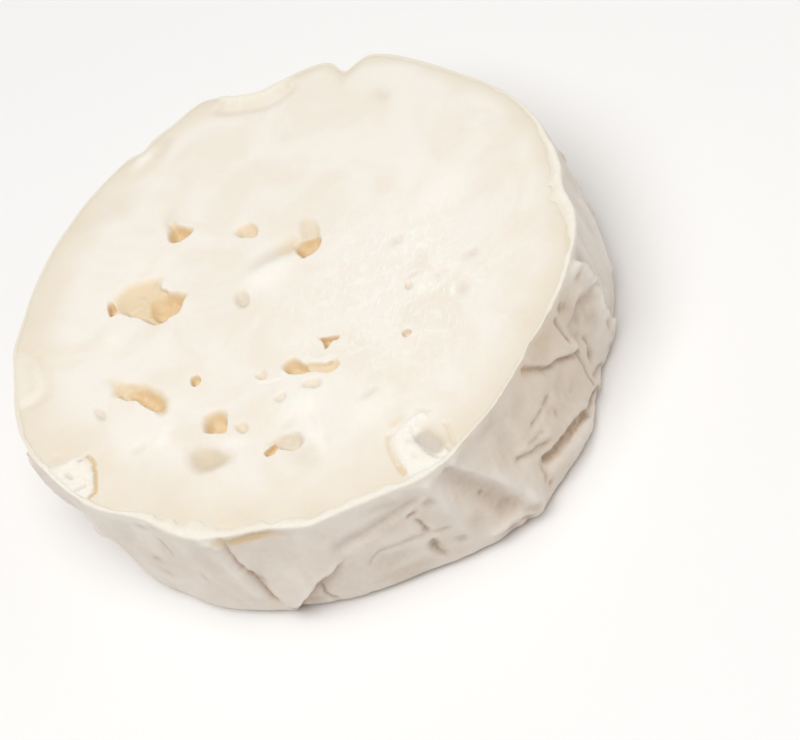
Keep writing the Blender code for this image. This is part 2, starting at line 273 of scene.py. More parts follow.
def ring_points(angles: np.ndarray, heights: float | np.ndarray = THICKNESS) -> np.ndarray:
    """Places on a plain cylinder at the rim, for grain that runs round without a seam."""
    turned = np.radians(angles)
    flat = RIM_RADIUS * np.column_stack((np.cos(turned), np.sin(turned)))
    return np.column_stack((flat, np.full(len(angles), heights)))


def lip_width(angles: np.ndarray) -> np.ndarray:
    """The lip's width seen from above, with its torn inner edge."""
    torn = 1.0 + layered(ring_points(angles), LIP_TEAR)
    return np.maximum(LEAST_LIP, around(angles, LIP_WIDTHS) * torn)


def lip_height(angles: np.ndarray) -> np.ndarray:
    """How far the lip stands above the face."""
    uneven = layered(ring_points(angles), LIP_RISE)
    return around(angles, LIP_HEIGHTS) + uneven * (0.2 + 0.8 * around(angles, LIP_BLOOM))


def in_place(points: np.ndarray) -> np.ndarray:
    """Places in millimetres about the face's centre as places in the frame, in metres."""
    return (points + np.array((*FACE_CENTRE, 0.0))) * MM


class Mark(Enum):
    """What the finishes read at each point of a piece."""

    AMBER = "amber"
    SHADE = "shade"
    CRUST = "crust"
    CREAM = "cream"
    DRAG = "drag"
    BRIGHT = "bright"
    CREASE = "crease"
    RIDGE = "ridge"
    LIP = "lip"
    BLOOM = "bloom"
    TAN = "tan"


FACE_MARKS = (Mark.AMBER, Mark.SHADE, Mark.CRUST, Mark.CREAM, Mark.DRAG, Mark.BRIGHT)
WALL_MARKS = (Mark.CREASE, Mark.RIDGE, Mark.LIP, Mark.BLOOM, Mark.TAN)


def store_marks(mesh: bpy.types.Mesh, marks: dict[Mark, np.ndarray]) -> None:
    """Writes each mark to the mesh as an attribute of its points."""
    for mark, values in marks.items():
        layer = mesh.attributes.new(mark.value, "FLOAT", "POINT")
        layer.data.foreach_set("value", np.clip(values, 0.0, 1.0).astype(np.float32))


@dataclass
class Surface:
    """A surface while its relief is worked out: the drift of its details, and its marks."""

    wander: np.ndarray
    marks: dict[Mark, np.ndarray]

    def mark(self, kind: Mark, chosen: np.ndarray, values: np.ndarray) -> None:
        """Marks the chosen points at least as strongly as the values."""
        self.marks[kind][chosen] = np.maximum(self.marks[kind][chosen], values)


@dataclass
class CutFace(Surface):
    """The cut face while its relief is worked out, in millimetres."""

    points: np.ndarray
    sunk: np.ndarray
    raised: np.ndarray

    @classmethod
    def plain(cls, points: np.ndarray) -> "CutFace":
        """A flat face with nothing on it yet."""
        places = flat_points(points)
        wander = np.column_stack([layered(places, layers) for layers in FACE_WANDER])
        marks = {kind: np.zeros(len(points)) for kind in FACE_MARKS}
        return cls(wander, marks, points, np.zeros(len(points)), np.zeros(len(points)))


@dataclass(frozen=True)
class Cave:
    """A hole in the paste: its mouth narrows to a floor, which leans towards the near side."""

    mouth: Path
    depth: float
    share: float
    lean: tuple[float, float] = (0.0, -0.3)
    # How strongly the hole is tinted: painted shade and bounced light, growing with depth
    amber: float = 0.0
    shade: float = 0.0

    def press(self, face: CutFace) -> None:
        """Sinks the hole into the face."""
        mouth = rounded(self.mouth)
        centre = mouth.mean(0)
        floor = centre + (mouth - centre) * self.share + np.array(self.lean)
        chosen = near_box(face.points, mouth, MARGIN)
        points = face.points[chosen] + face.wander[chosen]
        inward = np.maximum(0.0, depth_inside(points, mouth))
        outward = np.maximum(0.0, -depth_inside(points, floor))
        share = smooth_step(0.0, 1.0, inward / (inward + outward + 1e-6))
        crumb = 1.0 + layered(flat_points(points), CAVE_CRUMB) * share
        face.sunk[chosen] = np.maximum(face.sunk[chosen], self.depth * share * crumb)
        filled = smooth_step(-0.2, 0.6, share) * (inward > 0.0)
        # Painted hollow shade and bounced light, strongest where the hole is deepest
        face.mark(Mark.AMBER, chosen, self.amber * filled)
        face.mark(Mark.SHADE, chosen, self.shade * filled)


@dataclass(frozen=True)
class Lump:
    """A soft oval rise or dent on the face, tinted by its kind: a smear, a stain, painted shade or
    a painted highlight.
    """

    x: float
    y: float
    length: float
    width: float
    turn: float
    height: float
    kind: Mark
    strength: float

    def press(self, face: CutFace) -> None:
        """Raises or lowers the face, and tints it."""
        tilt = math.radians(self.turn)
        x, y = (face.points + LUMP_WANDER * face.wander - (self.x, self.y)).T
        along = (x * math.cos(tilt) + y * math.sin(tilt)) / self.length
        across = (y * math.cos(tilt) - x * math.sin(tilt)) / self.width
        share = np.exp(-((along**2 + across**2) ** 1.3))
        face.raised += self.height * share
        face.mark(self.kind, np.arange(len(share)), self.strength * share)


@dataclass(frozen=True)
class Groove:
    """A narrow line pressed into the face."""

    path: Path
    width: float
    depth: float
    kind: Mark
    strength: float
    tint_width: float = 1.0

    def press(self, face: CutFace) -> None:
        """Presses the line in, and tints it."""
        corners = np.array(self.path, dtype=float)
        chosen = near_box(face.points, corners, 4.0 * self.width)
        reach = reach_of(face.points[chosen] + GROOVE_WANDER * face.wander[chosen], corners)
        taper = smooth_step(-0.2, 1.5 * self.width, reach.from_end)
        share = np.exp(-((reach.distance / self.width) ** 2)) * taper
        tint = np.exp(-((reach.distance / (self.width * self.tint_width)) ** 2)) * taper
        face.raised[chosen] -= self.depth * share
        face.mark(self.kind, chosen, self.strength * tint)


@dataclass(frozen=True)
class Patch:
    """A piece of rind that was tucked into the cheese and shows on the cut face."""

    outline: Path
    height: float
    bank: float
    roughness: float
    strength: float = 1.0

    def press(self, face: CutFace) -> None:
        """Raises the rough patch, and marks it as rind."""
        corners = rounded(self.outline)
        chosen = near_box(face.points, corners, MARGIN)
        points = face.points[chosen] + PATCH_WANDER * face.wander[chosen]
        inward = depth_inside(points, corners)
        share = smooth_step(-0.15, self.bank, inward)
        rough = layered(flat_points(face.points[chosen]), CRUST_GRAIN)
        face.raised[chosen] += share * (self.height + self.roughness * rough)
        face.mark(Mark.CRUST, chosen, self.strength * smooth_step(-0.1, 0.25, inward))


# Short names of marks, for the tables
AMBER = Mark.AMBER
SHADE = Mark.SHADE
BRIGHT = Mark.BRIGHT

# The holes. Each mouth is an outline on the cut face. Their amber and shade are painted hollow
# shade and bounced light, deeper down.
CAVES: tuple[Cave, ...] = (
    # upper triangle
    Cave(((-15.7, 27.2), (-15, 29.5), (-14.4, 31.5), (-13.7, 32.2), (-12.8, 32), (-11.9, 30.3),
        (-11.2, 28.8), (-10, 27.6), (-9.6, 26.4), (-10.6, 25.8), (-12, 25.4), (-13.3, 25.4),
        (-14.8, 26)), 2, 0.42, (-0.1, -1.5), amber=0.95),
    # big cave: its shelf, its nook on the left and its floor
    Cave(((-31.8, 17), (-31.1, 21.5), (-30, 22.5), (-28.5, 23.3), (-25.5, 24), (-22.5, 22.4),
        (-19.8, 21.4), (-18.6, 19.9), (-19, 19), (-20.5, 17.2), (-20.2, 16.8), (-19, 15.2),
        (-17.5, 13.8), (-16, 12.2), (-16.6, 11.4), (-18.2, 11), (-18.8, 9.6), (-20.2, 8.7),
        (-21.5, 9.2), (-23, 8.5), (-25, 9.1), (-26.2, 11), (-27.2, 13.5), (-28.7, 15.2),
        (-30, 16.6)), 1.2, 0.62, (0.1, -1.9), amber=0.6),
    Cave(((-31.9, 17.3), (-31.3, 20.8), (-30.4, 22), (-29.5, 20.6), (-29.8, 18.2), (-30.8, 17)),
        1.7, 0.45, (-0.2, -0.9), amber=0.92),
    Cave(((-25.4, 18), (-22, 17.6), (-20.2, 16.8), (-17.3, 13.8), (-16, 12.2), (-18, 11.1),
        (-19.3, 9.3), (-21.3, 9.3), (-24.6, 9.6), (-26, 12.2), (-25.8, 15)), 2.4, 0.5, (0.2, -1.5),
        amber=0.9),
    # long cave
    Cave(((-38.8, 4.6), (-37.4, 5.2), (-35.4, 4.1), (-34.1, 1.2), (-32.4, -0.8), (-30.9, -1.8),
        (-30.2, -3.2), (-28.9, -5.5), (-28.1, -7.8), (-27.8, -9), (-28.5, -10.9), (-29.2, -12.2),
        (-30.8, -12.8), (-32.1, -12.1), (-32.4, -10.8), (-32.1, -9.9), (-33.3, -7.8), (-33.9, -5.5),
        (-34.6, -4.8), (-36.1, -3.8), (-37.1, -2.2), (-38.6, -1.2), (-38.1, 1), (-39, 3)), 1.2,
        0.45, (-0.3, -1.6), amber=0.62),
    Cave(((-36.4, 1.6), (-34.4, 0.6), (-33, -1.6), (-31, -2.4), (-29.4, -5.8), (-28.4, -9),
        (-29.6, -11.6), (-31.4, -11.4), (-32.2, -9.9), (-33.4, -7.4), (-34.4, -4.6), (-36.4, -2.4)),
        2.2, 0.45, (-0.7, -1.2), amber=0.86),
    # five-sided hole
    Cave(((-26.1, -20.8), (-25.8, -18), (-24.8, -16.4), (-23, -16.2), (-21.1, -17.2),
        (-20.2, -18.6), (-20.2, -19.6), (-20.9, -20.8), (-21.5, -22.3), (-22.1, -23.3),
        (-22.5, -23.5), (-23.2, -23.1), (-24.5, -22.1), (-25.7, -21.3)), 2.2, 0.5, (-0.1, -1.7),
        amber=0.82),
    # right cave with its crescent
    Cave(((4, 10), (4.3, 7.2), (4.5, 6), (4.8, 4.5), (7.5, 4.5), (9.1, 5.2), (10.2, 6.6), (10.3, 8),
        (9.9, 9), (8.4, 9.5), (6, 10.1)), 2.1, 0.5, (0.2, -1.3), amber=0.95),
    Cave(((5.6, 9.4), (6.4, 7.4), (8.4, 6.4), (10.2, 7.2), (11.4, 10.5), (11.2, 12.5), (10.1, 14.4),
        (8.5, 15.1), (6.9, 14.4), (6.6, 12.4)), 0.6, 0.3, (0.4, -1.2), amber=0.38, shade=0.2),
    # slanted cave, deep on its left and shallow on its right
    Cave(((-8.4, -17), (-8, -15.7), (-6.5, -15.2), (-4.9, -15.7), (-4.5, -17), (-4.1, -18.1),
        (-3.2, -19.2), (-3.2, -20.9), (-4.6, -21.2), (-6.1, -20.2), (-7.6, -19)), 1.8, 0.5,
        (-0.2, -1.1), amber=0.84),
    Cave(((-6.4, -17.4), (-4.4, -17.6), (-2.8, -19), (-1.2, -20.3), (0.2, -21.4), (1.9, -20.7),
        (2.1, -22.6), (1.8, -23.4), (0.5, -24.1), (-1, -23.9), (-2, -23), (-3.2, -21.7),
        (-4.4, -21), (-6, -20)), 0.9, 0.5, (0, -0.8), amber=0.58),
    # split with three arms
    Cave(((-0.3, -14.1), (0.8, -15.1), (1.8, -15.7), (2.8, -16.2), (4.1, -16.7), (4.3, -17.3),
        (3.4, -17.9), (2.4, -17.4), (1.7, -17.7), (1.2, -18.4), (0.2, -18.6), (0.5, -17.2),
        (0.6, -16.2), (0.1, -15.2)), 1.3, 0.5, (0, -0.35), amber=0.95),
    # small pits and shallow dents
    Cave(((-24.2, -8.4), (-23.7, -9.8), (-22.4, -9.9), (-21.7, -8.4), (-22, -7), (-23.4, -6.8)),
        1.2, 0.5, (0, -0.5), amber=0.82, shade=0.15),
    Cave(((-21.2, -23), (-19.5, -22.5), (-18, -23.8), (-18, -25.4), (-19.5, -26.3), (-20.4, -24.8)),
        0.8, 0.4, (0, -0.5), amber=0.42, shade=0.2),
    Cave(((-30.6, -21.5), (-27.5, -22.4), (-25, -25.2), (-22.6, -28), (-22.2, -30.4),
        (-25.6, -31.2), (-30.2, -29.8), (-31.8, -27), (-31.6, -24)), 0.75, 0.12, (0.3, -0.6),
        amber=0.3, shade=0.75),
    Cave(((-4.6, 20.2), (-2.2, 21.6), (0.2, 21), (1.2, 19), (0.8, 17.2), (-0.3, 15.7), (-1.9, 16.8),
        (-3.8, 18.4)), 0.9, 0.4, (0.2, -0.8), amber=0.55, shade=0.1),
    Cave(((-9.6, 6.4), (-7.2, 6), (-6.6, 4), (-7.2, 1.8), (-8.5, 1), (-9.9, 2.4), (-10.2, 4.5)),
        0.8, 0.4, (0.1, -0.6), amber=0.2, shade=0.5),
    Cave(((-7.4, -22.5), (-5.5, -22), (-3.6, -22.7), (-2.4, -23.8), (-2.9, -25.6), (-4.5, -25.8),
        (-5.7, -24.3), (-6.7, -23.5)), 0.7, 0.4, (0, -0.4), amber=0.25, shade=0.3),
    Cave(((-13.5, -14.3), (-12.2, -15.1), (-10.8, -14.3), (-10.5, -16.1), (-11.7, -17.4),
        (-12.8, -16.3)), 0.7, 0.4, (0, -0.3), amber=0.36, shade=0.3),
    Cave(((-12.1, -22.1), (-9.4, -21.8), (-9.5, -23.5), (-11, -24.3), (-12.2, -23)), 0.6, 0.4,
        (0, -0.2), amber=0.2, shade=0.35),
    # slit with the soft valley on its right
    Cave(((-18.3, -32.3), (-16.3, -31.7), (-14.9, -31.2), (-15.3, -33.2), (-16.5, -34.1),
        (-18.1, -33.8)), 1.1, 0.55, (-0.1, -0.3), amber=1),
    Cave(((-17.9, -30.5), (-14, -29.9), (-10.6, -31.6), (-9.9, -35), (-13, -36), (-15.6, -33.6)), 1,
        0.35, (0.3, -1), amber=0.26, shade=0.55),
    Cave(((18.8, -13.6), (19.8, -14), (19.7, -16), (18.9, -16.2), (18.4, -15)), 0.8, 0.45,
        (0, -0.2), amber=0.34, shade=0.3),
    Cave(((13.4, -25.1), (14.1, -26.1), (15.3, -25.8), (15.6, -24.6), (14.6, -23.8), (13.7, -24.1)),
        1, 0.5, (0, -0.3), amber=0.4, shade=0.3),
    Cave(((-42.4, -0.6), (-41.2, -0.4), (-40.2, -4.2), (-40.6, -6), (-41.6, -5.4), (-42.3, -3)),
        0.6, 0.4, shade=0.4),
)

# Soft rises and dents of the paste, with bright smears and painted highlights, painted shade in the
# dents and amber tints:
# (x, y, length, width, turn, height, strength) of each mark
LUMP_ROWS: dict[Mark, Rows] = {
    # Whiter smeared paste, and painted highlights on lumps, ridges and the far rim's flap
    BRIGHT: (
        (-1.5, 7, 5.2, 3.4, 5, 0.55, 0.9), (-33.2, 12, 2.2, 2.6, 0, 0.2, 0.6),
        (-8, -26.8, 4.6, 3.2, 20, 0.35, 0.8), (-8.6, -35, 1.2, 5, 0, 0.35, 0.75),
        (2.5, -36, 3.6, 4.4, 0, 0.22, 0.6), (6, -34, 2, 3, 20, 0.2, 0.5),
        (-21.5, -26.5, 2.6, 1.6, -30, 0.15, 0.5), (-36, -14, 6, 3.2, 20, 0.1, 0.35),
        (26, -21.6, 1, 2.2, -10, 0.3, 0.8), (34, 1.5, 7, 4, 10, 0.12, 0.75),
        (27, -6, 6, 4, -20, 0.1, 0.5), (22.5, -16.5, 3.6, 2.6, 30, 0.14, 0.6),
        (13, -30, 8, 6, 40, 0.1, 0.1), (30, 10, 7, 3, 40, 0.08, 0.35),
        (-2, -14, 6, 4, 0, 0.1, 0.35), (-20.5, 27, 5, 4, 0, 0.08, 0.3),
        (-12, 50.8, 3, 1.3, 22, 0.25, 0.9), (-33.1, -16.9, 1.8, 1.3, 40, 0.16, 0.8),
        (-31.4, -15, 0.9, 1.2, 10, 0.14, 0.7), (-6.3, -27.4, 1.3, 3, -30, 0.28, 1),
        (-7.4, -35.4, 0.8, 3.4, -12, 0.22, 0.9),
    ),
    # Painted shade in dents, in soft valleys and beside a bright ridge
    SHADE: (
        (0.8, 9.9, 5.6, 2, 4, -0.5, 0.4), (-13.2, 31.6, 1.4, 3.2, -12, -0.2, 0.25),
        (-12, -37.5, 2.4, 4.2, 30, -0.3, 0.22), (3.4, -33, 2, 1, 0, -0.25, 0.3),
        (-37.5, -16, 1.6, 1, 10, -0.25, 0.2), (21.7, -3.4, 1.7, 1.2, 0, -0.35, 0.3),
        (32, -15.9, 1.5, 1.2, 0, -0.35, 0.34), (27, -22.5, 1.8, 1.2, 40, -0.3, 0.3),
        (25.4, -16.5, 1.4, 1, 0, -0.2, 0.2), (20.9, -13.2, 1.1, 0.5, 0, -0.35, 0.35),
        (34, 32.5, 1.6, 2.6, 0, -0.15, 0.2), (14, 36, 1.6, 2.4, 0, -0.1, 0.12),
        (-22, 43, 5, 3, 10, -0.15, 0.16), (-11.6, -29.4, 1.6, 1.2, 20, -0.16, 0.18),
    ),
    # Amber tints: faint stains, and painted shade in the valley beside the right cave
    AMBER: (
        (4, 9.2, 3, 2.4, 0, -0.3, 0.45), (48.5, 14, 1.1, 1.8, 20, -0.1, 0.16),
        (51.3, 8.5, 1, 1.8, 10, -0.1, 0.14), (-51.6, -7.6, 1.6, 1, -30, -0.2, 0.2),
        (9, -27, 9, 7, 30, 0, 0.07),
    ),
}
LUMPS = tuple(Lump(*row[:6], kind, row[6]) for kind, rows in LUMP_ROWS.items() for row in rows)

# Rind tucked into the paste
PATCHES: tuple[Patch, ...] = (
    Patch(((2.2, -54.5), (2.1, -52), (2.3, -49), (2.6, -46.5), (3.3, -44.6), (5.2, -43.8),
        (7, -43.2), (9.2, -42.9), (10.4, -43.6), (10.6, -44.8), (9.6, -45.4), (8, -45.2),
        (6.6, -45.8), (6.7, -49.2), (7.1, -52), (8, -54.5), (10.4, -54.9), (12.6, -55.2),
        (13.2, -57), (9.6, -58.4), (6, -58.5), (2.4, -57.5)), 0.42, 0.8, 0.13),
    Patch(((6.6, -45.6), (7.8, -45.8), (8.8, -47.2), (9.4, -49.6), (9.9, -53), (9.9, -54.8),
        (8.6, -55), (7.1, -52.4), (6.4, -50), (6, -47.6)), 0, 0.3, 0.08, 1),
    Patch(((-55.4, -8.5), (-53, -9.2), (-51, -9.6), (-48.6, -9.6), (-47.3, -11), (-46.9, -13.2),
        (-47, -15.5), (-47.8, -18), (-49, -19.8), (-50.5, -20.3), (-53, -20.5), (-56.4, -14)), 0.3,
        0.9, 0.14, 0.85),
    Patch(((-55.6, 8), (-51, 8), (-48.6, 9.6), (-47.5, 12), (-47.6, 16), (-48.4, 19.6), (-50, 22),
        (-54, 22)), 0.3, 1.8, 0.05, 0.45),
    Patch(((6, 56.5), (8.5, 54), (11.5, 52.2), (15, 50.8), (19, 50.3), (24.5, 50.5), (20, 48.6),
        (16, 47.6), (13, 48.6), (9.5, 50.6), (6.6, 52.6)), 0.7, 1, 0.04, 0.5),
)

# Thin gaps and cracks with painted shade in them, amber tints, and bright lines that are partly
# painted highlights
GROOVES: tuple[Groove, ...] = (
    Groove(((3, -43.6), (2, -45), (1.5, -47), (1.3, -49.4), (1.4, -51.8), (1.6, -54)), 0.5, 0.3,
        AMBER, 0.4, 1.2),
    Groove(((1.4, -50.6), (1.6, -52.4), (1.8, -53.6)), 0.45, 0.2, AMBER, 0.6, 1.2),
    Groove(((3.2, -43), (5, -42.2), (7, -41.6)), 0.8, 0.06, AMBER, 0.3, 1.4),
    Groove(((8.8, -41.8), (10.2, -42.8), (11.4, -44.4)), 0.5, 0.1, SHADE, 0.2),
    Groove(((12.2, -47.6), (12.3, -49), (12, -51), (11.6, -54)), 0.5, 0.35, AMBER, 0.24, 1.4),
    Groove(((10.3, -53), (10.9, -54.6), (11.4, -56)), 0.35, 0.35, AMBER, 0.2, 1.4),
    Groove(((7, -46.4), (7.6, -48), (8.3, -50.2), (8.9, -52.4), (9.4, -54)), 1.45, 0.3, SHADE, 1.7,
        1.1),
    Groove(((4.6, -47.2), (5.8, -48.8)), 0.6, 0.12, SHADE, 0.3, 1.2),
    Groove(((4, -50.6), (5.6, -52.4)), 0.5, 0.1, SHADE, 0.22, 1.2),
    Groove(((-46.9, -10.6), (-46.2, -12), (-46.1, -13.2), (-46.6, -15.5), (-47.3, -17.8),
        (-48.2, -20), (-49.8, -20.2)), 0.3, 0.7, AMBER, 0.72, 1.1),
    Groove(((-48.6, -10.5), (-47.6, -11.8)), 0.55, 0.4, SHADE, 0.8),
    Groove(((-44.4, -10), (-44, -14), (-45, -19.6)), 2.2, 0, AMBER, 0.16),
    Groove(((-44.6, -9.4), (-48.4, -7.6), (-52.2, -7.2)), 1.6, 0, AMBER, 0.15),
    Groove(((-51.6, -12), (-50.8, -14.6)), 0.5, 0.4, SHADE, 0.6),
    Groove(((-51.6, -17.2), (-50, -17.3), (-48.8, -17.6)), 0.4, 0.35, SHADE, 0.55),
    Groove(((-52.9, -17.4), (-51.8, -18)), 0.5, 0.4, SHADE, 0.6),
    Groove(((-48.5, -15.4), (-48.2, -17)), 0.35, 0.2, AMBER, 0.2),
    Groove(((-47.2, 19.6), (-46.6, 14), (-47, 11), (-48.3, 8.6), (-50.5, 7.4), (-53.9, 7.8)), 1.1,
        0.3, AMBER, 0.15, 1.3),
    Groove(((-49.2, 18), (-50, 12.5), (-51.4, 10)), 0.8, 0.12, SHADE, 0.16, 1.3),
    Groove(((4.5, 53.4), (6, 51), (9, 49), (12, 47), (15, 46), (18, 46.3), (21.4, 47.8)), 1, 0.5,
        SHADE, 0.22, 1.4),
    # Painted shade on the inner side of the bright flap at the far rim
    Groove(((-10.4, 48.8), (-8, 50), (-6.4, 51.6), (-5.6, 53.6)), 1.1, 0.2, SHADE, 0.2, 1.2),
    # Painted shadow in the gap where the rind has pulled away from the paste
    Groove(((-33.4, -43.4), (-32.2, -44.1), (-29.5, -46), (-26.5, -48.2), (-24.2, -49.9)), 0.55, 1,
        AMBER, 0.9, 1.2),
    Groove(((-48.5, -22.6), (-46.4, -27.4), (-43.6, -31.4), (-38, -37.7), (-34.4, -41), (-30, -44),
        (-23.4, -48.7), (-17.6, -51.6)), 0.9, 0.2, AMBER, 0.2, 1.2),
    Groove(((50.8, -10.6), (50.9, -15), (50.5, -20.5), (48.2, -24), (46.4, -28)), 0.6, 0.25, AMBER,
        0.24, 1.2),
    # Bright lines by the holes: smeared paste and painted highlight
    Groove(((-13.4, -16.8), (-12, -18.2), (-8.8, -19.3)), 0.4, 0.1, BRIGHT, 0.4),
    Groove(((-6.4, -15), (-4.4, -15.4), (-3.4, -17.6), (-1.4, -19.6), (1.6, -20.6)), 0.35, -0.04,
        BRIGHT, 0.25),
)


@dataclass(frozen=True)
class Finish:
    """Named colours (linear), gloss and fine relief (in metres) of one finish."""

    name: str
    colours: dict[str, Colour]
    roughness: float
    glossier: float
    duller: float
    subsurface: float
    subsurface_scale: float
    sheen: float
    bump_strength: float
    bump_distance: float


PASTE_FINISH = Finish(
    "cheese_paste",
    {
        "light": (0.895, 0.853, 0.784, 1.0),
        "dark": (0.862, 0.806, 0.712, 1.0),
        "bright": (0.94, 0.915, 0.845, 1.0),
        "cream": (0.80, 0.71, 0.565, 1.0),
        # Amber of the holes and gaps, painted shade and bounced light; the pale one also tints
        # faint stains
        "pale_amber": (0.79, 0.645, 0.435, 1.0),
        "deep_amber_hollow_shade": (0.755, 0.56, 0.325, 1.0),
        "shade": (0.64, 0.555, 0.43, 1.0),
        "crust": (0.915, 0.878, 0.80, 1.0),
        "crust_shade": (0.635, 0.57, 0.485, 1.0),
    },
    roughness=0.46,
    glossier=0.07,
    duller=0.09,
    subsurface=0.22,
    subsurface_scale=0.0022,
    sheen=0.0,
    bump_strength=0.35,
    bump_distance=0.00016,
)
RIND_FINISH = Finish(
    "white_rind",
    {
        "light": (0.845, 0.775, 0.70, 1.0),
        "dark": (0.785, 0.705, 0.62, 1.0),
        # Painted shade in the creases, valleys, knots and the open gap
        "crease": (0.43, 0.30, 0.21, 1.0),
        # Painted highlight on ridges, lapped edges and lit patches of the wall
        "ridge": (0.92, 0.89, 0.85, 1.0),
        # White of the lip, also used as painted highlight down the curl's edge
        "lip": (0.90, 0.86, 0.785, 1.0),
        "edge": (0.835, 0.765, 0.645, 1.0),
        # Tan tints of the wall, and painted shadow in the split under the lip
        "tan": (0.72, 0.56, 0.37, 1.0),
    },
    roughness=0.85,
    glossier=0.08,
    duller=0.08,
    subsurface=0.12,
    subsurface_scale=0.0012,
    sheen=0.12,
    bump_strength=0.4,
    bump_distance=0.00014,
)
# What both finishes share
SCATTER = (1.0, 0.62, 0.38)
SHEEN_ROUGHNESS = 0.5
SPECULAR = 0.4
# The colour sockets of a Mix node
MIX_SHARE, MIX_FIRST, MIX_SECOND = 0, 6, 7
MIX_COLOUR = 2

Socket = bpy.types.NodeSocket


class Sheet:
    """A material's node tree with short ways to add nodes."""

    def __init__(self, tree: bpy.types.NodeTree) -> None:
        """Keeps the tree that nodes are added to."""
        self.tree = tree

    def node(self, kind: str, **settings: object) -> bpy.types.Node:
        """Adds a node.

        Args:
            kind: the node's type name.
            settings: properties to set on it.

        Returns:
            The new node.
        """
        made = self.tree.nodes.new(kind)
        for name, value in settings.items():
            setattr(made, name, value)
        return made

    def feed(self, socket: Socket, source: object) -> None:
        """Links a socket to a source, or sets it where the source is a value."""
        if isinstance(source, Socket):
            self.tree.links.new(source, socket)
        else:
            socket.default_value = source

    def fill(self, node: bpy.types.Node, **sources: object) -> bpy.types.Node:
        """Feeds a node's inputs.

        Args:
            node: the node.
            sources: a source for each input, an underscore for each space in its name.

        Returns:
            The same node.
        """
        for name, source in sources.items():
            self.feed(node.inputs[name.replace("_", " ")], source)
        return node

    def reading(self, mark: Mark) -> Socket:
        """The value of a mark."""
        return self.node("ShaderNodeAttribute", attribute_name=mark.value).outputs["Fac"]

    def coordinates(self) -> Socket:
        """Places in the object, in metres."""
        return self.node("ShaderNodeTexCoord").outputs["Object"]

    def mixed(self, share: object, first: object, second: object) -> Socket:
        """A colour that goes from first to second as the share goes from 0 to 1."""
        mix = self.node("ShaderNodeMix", data_type="RGBA", blend_type="MIX")
        for place, source in ((MIX_SHARE, share), (MIX_FIRST, first), (MIX_SECOND, second)):
            self.feed(mix.inputs[place], source)
        return mix.outputs[MIX_COLOUR]

    def maths(self, operation: str, *values: object) -> Socket:
        """The result of a sum on one to three values."""
        made = self.node("ShaderNodeMath", operation=operation)
        for socket, value in zip(made.inputs, values):
            self.feed(socket, value)
        return made.outputs[0]

    def times(self, first: object, second: object) -> Socket:
        """The product of two values."""
        return self.maths("MULTIPLY", first, second)

    def ranged(
        self, value: object, low: object, high: object, first: float = 0.0, last: float = 1.0
    ) -> Socket:
        """A value moved softly from the range low to high into first to last."""
        made = self.node("ShaderNodeMapRange", interpolation_type="SMOOTHSTEP")
        self.fill(made, Value=value, From_Min=low, From_Max=high, To_Min=first, To_Max=last)
        return made.outputs["Result"]

    def noisy(self, place: Socket, **values: object) -> Socket:
        """Smooth noise at a place."""
        made = self.node("ShaderNodeTexNoise")
        return self.fill(made, Vector=place, **values).outputs["Fac"]

    def bumped(self, finish: Finish, height: Socket) -> Socket:
        """The surface's direction under a finish's fine relief."""
        made = self.node("ShaderNodeBump")
        self.fill(made, Strength=finish.bump_strength, Distance=finish.bump_distance)
        return self.fill(made, Height=height).outputs["Normal"]

    def glossed(self, finish: Finish, uneven: Socket) -> Socket:
        """A finish's roughness, from its glossier to its duller parts."""
        low, high = finish.roughness - finish.glossier, finish.roughness + finish.duller
        return self.ranged(uneven, 0.3, 0.7, low, high)

    def group(self, tree: bpy.types.NodeTree, **values: object) -> bpy.types.Node:
        """Places a node group with its own input values."""
        return self.fill(self.node("ShaderNodeGroup", node_tree=tree), **values)


def new_group(
    name: str, inputs: dict[str, tuple[str, float]], outputs: tuple[str, ...]
) -> tuple[Sheet, bpy.types.Node, bpy.types.Node]:
    """Starts a shader node group.

    Args:
        name: the group's name.
        inputs: each input's socket type and first value.
        outputs: the names of its outputs, all plain values.

    Returns:
        The sheet for its nodes, its input node and its output node.
    """
    tree = bpy.data.node_groups.new(name, "ShaderNodeTree")
    for socket, (kind, value) in inputs.items():
        made = tree.interface.new_socket(socket, in_out="INPUT", socket_type=kind)
        if kind == "NodeSocketFloat":
            made.default_value = value
    for socket in outputs:
        tree.interface.new_socket(socket, in_out="OUTPUT", socket_type="NodeSocketFloat")
    sheet = Sheet(tree)
    return sheet, sheet.node("NodeGroupInput"), sheet.node("NodeGroupOutput")


def mottle_group() -> bpy.types.NodeTree:
    """Cloudy patches: a soft mask and a fine height, used by the paste and by the rind."""
    sheet, given, result = new_group(
        "mottle",
        {
            "Vector": ("NodeSocketVector", 0.0),
            "Patch Scale": ("NodeSocketFloat", 120.0),
            "Grain Scale": ("NodeSocketFloat", 1500.0),
            "Low": ("NodeSocketFloat", 0.4),
            "High": ("NodeSocketFloat", 0.62),
        },
        ("Mask", "Height"),
    )
    place, patch_scale, grain_scale, low, high = list(given.outputs)[:5]
    patches = sheet.noisy(place, Scale=patch_scale, Detail=4.0, Roughness=0.55, Distortion=0.6)
    fine = sheet.noisy(place, Scale=grain_scale, Detail=3.0, Roughness=0.6)
    sheet.fill(result, Mask=sheet.ranged(patches, low, high), Height=fine)
    return sheet.tree


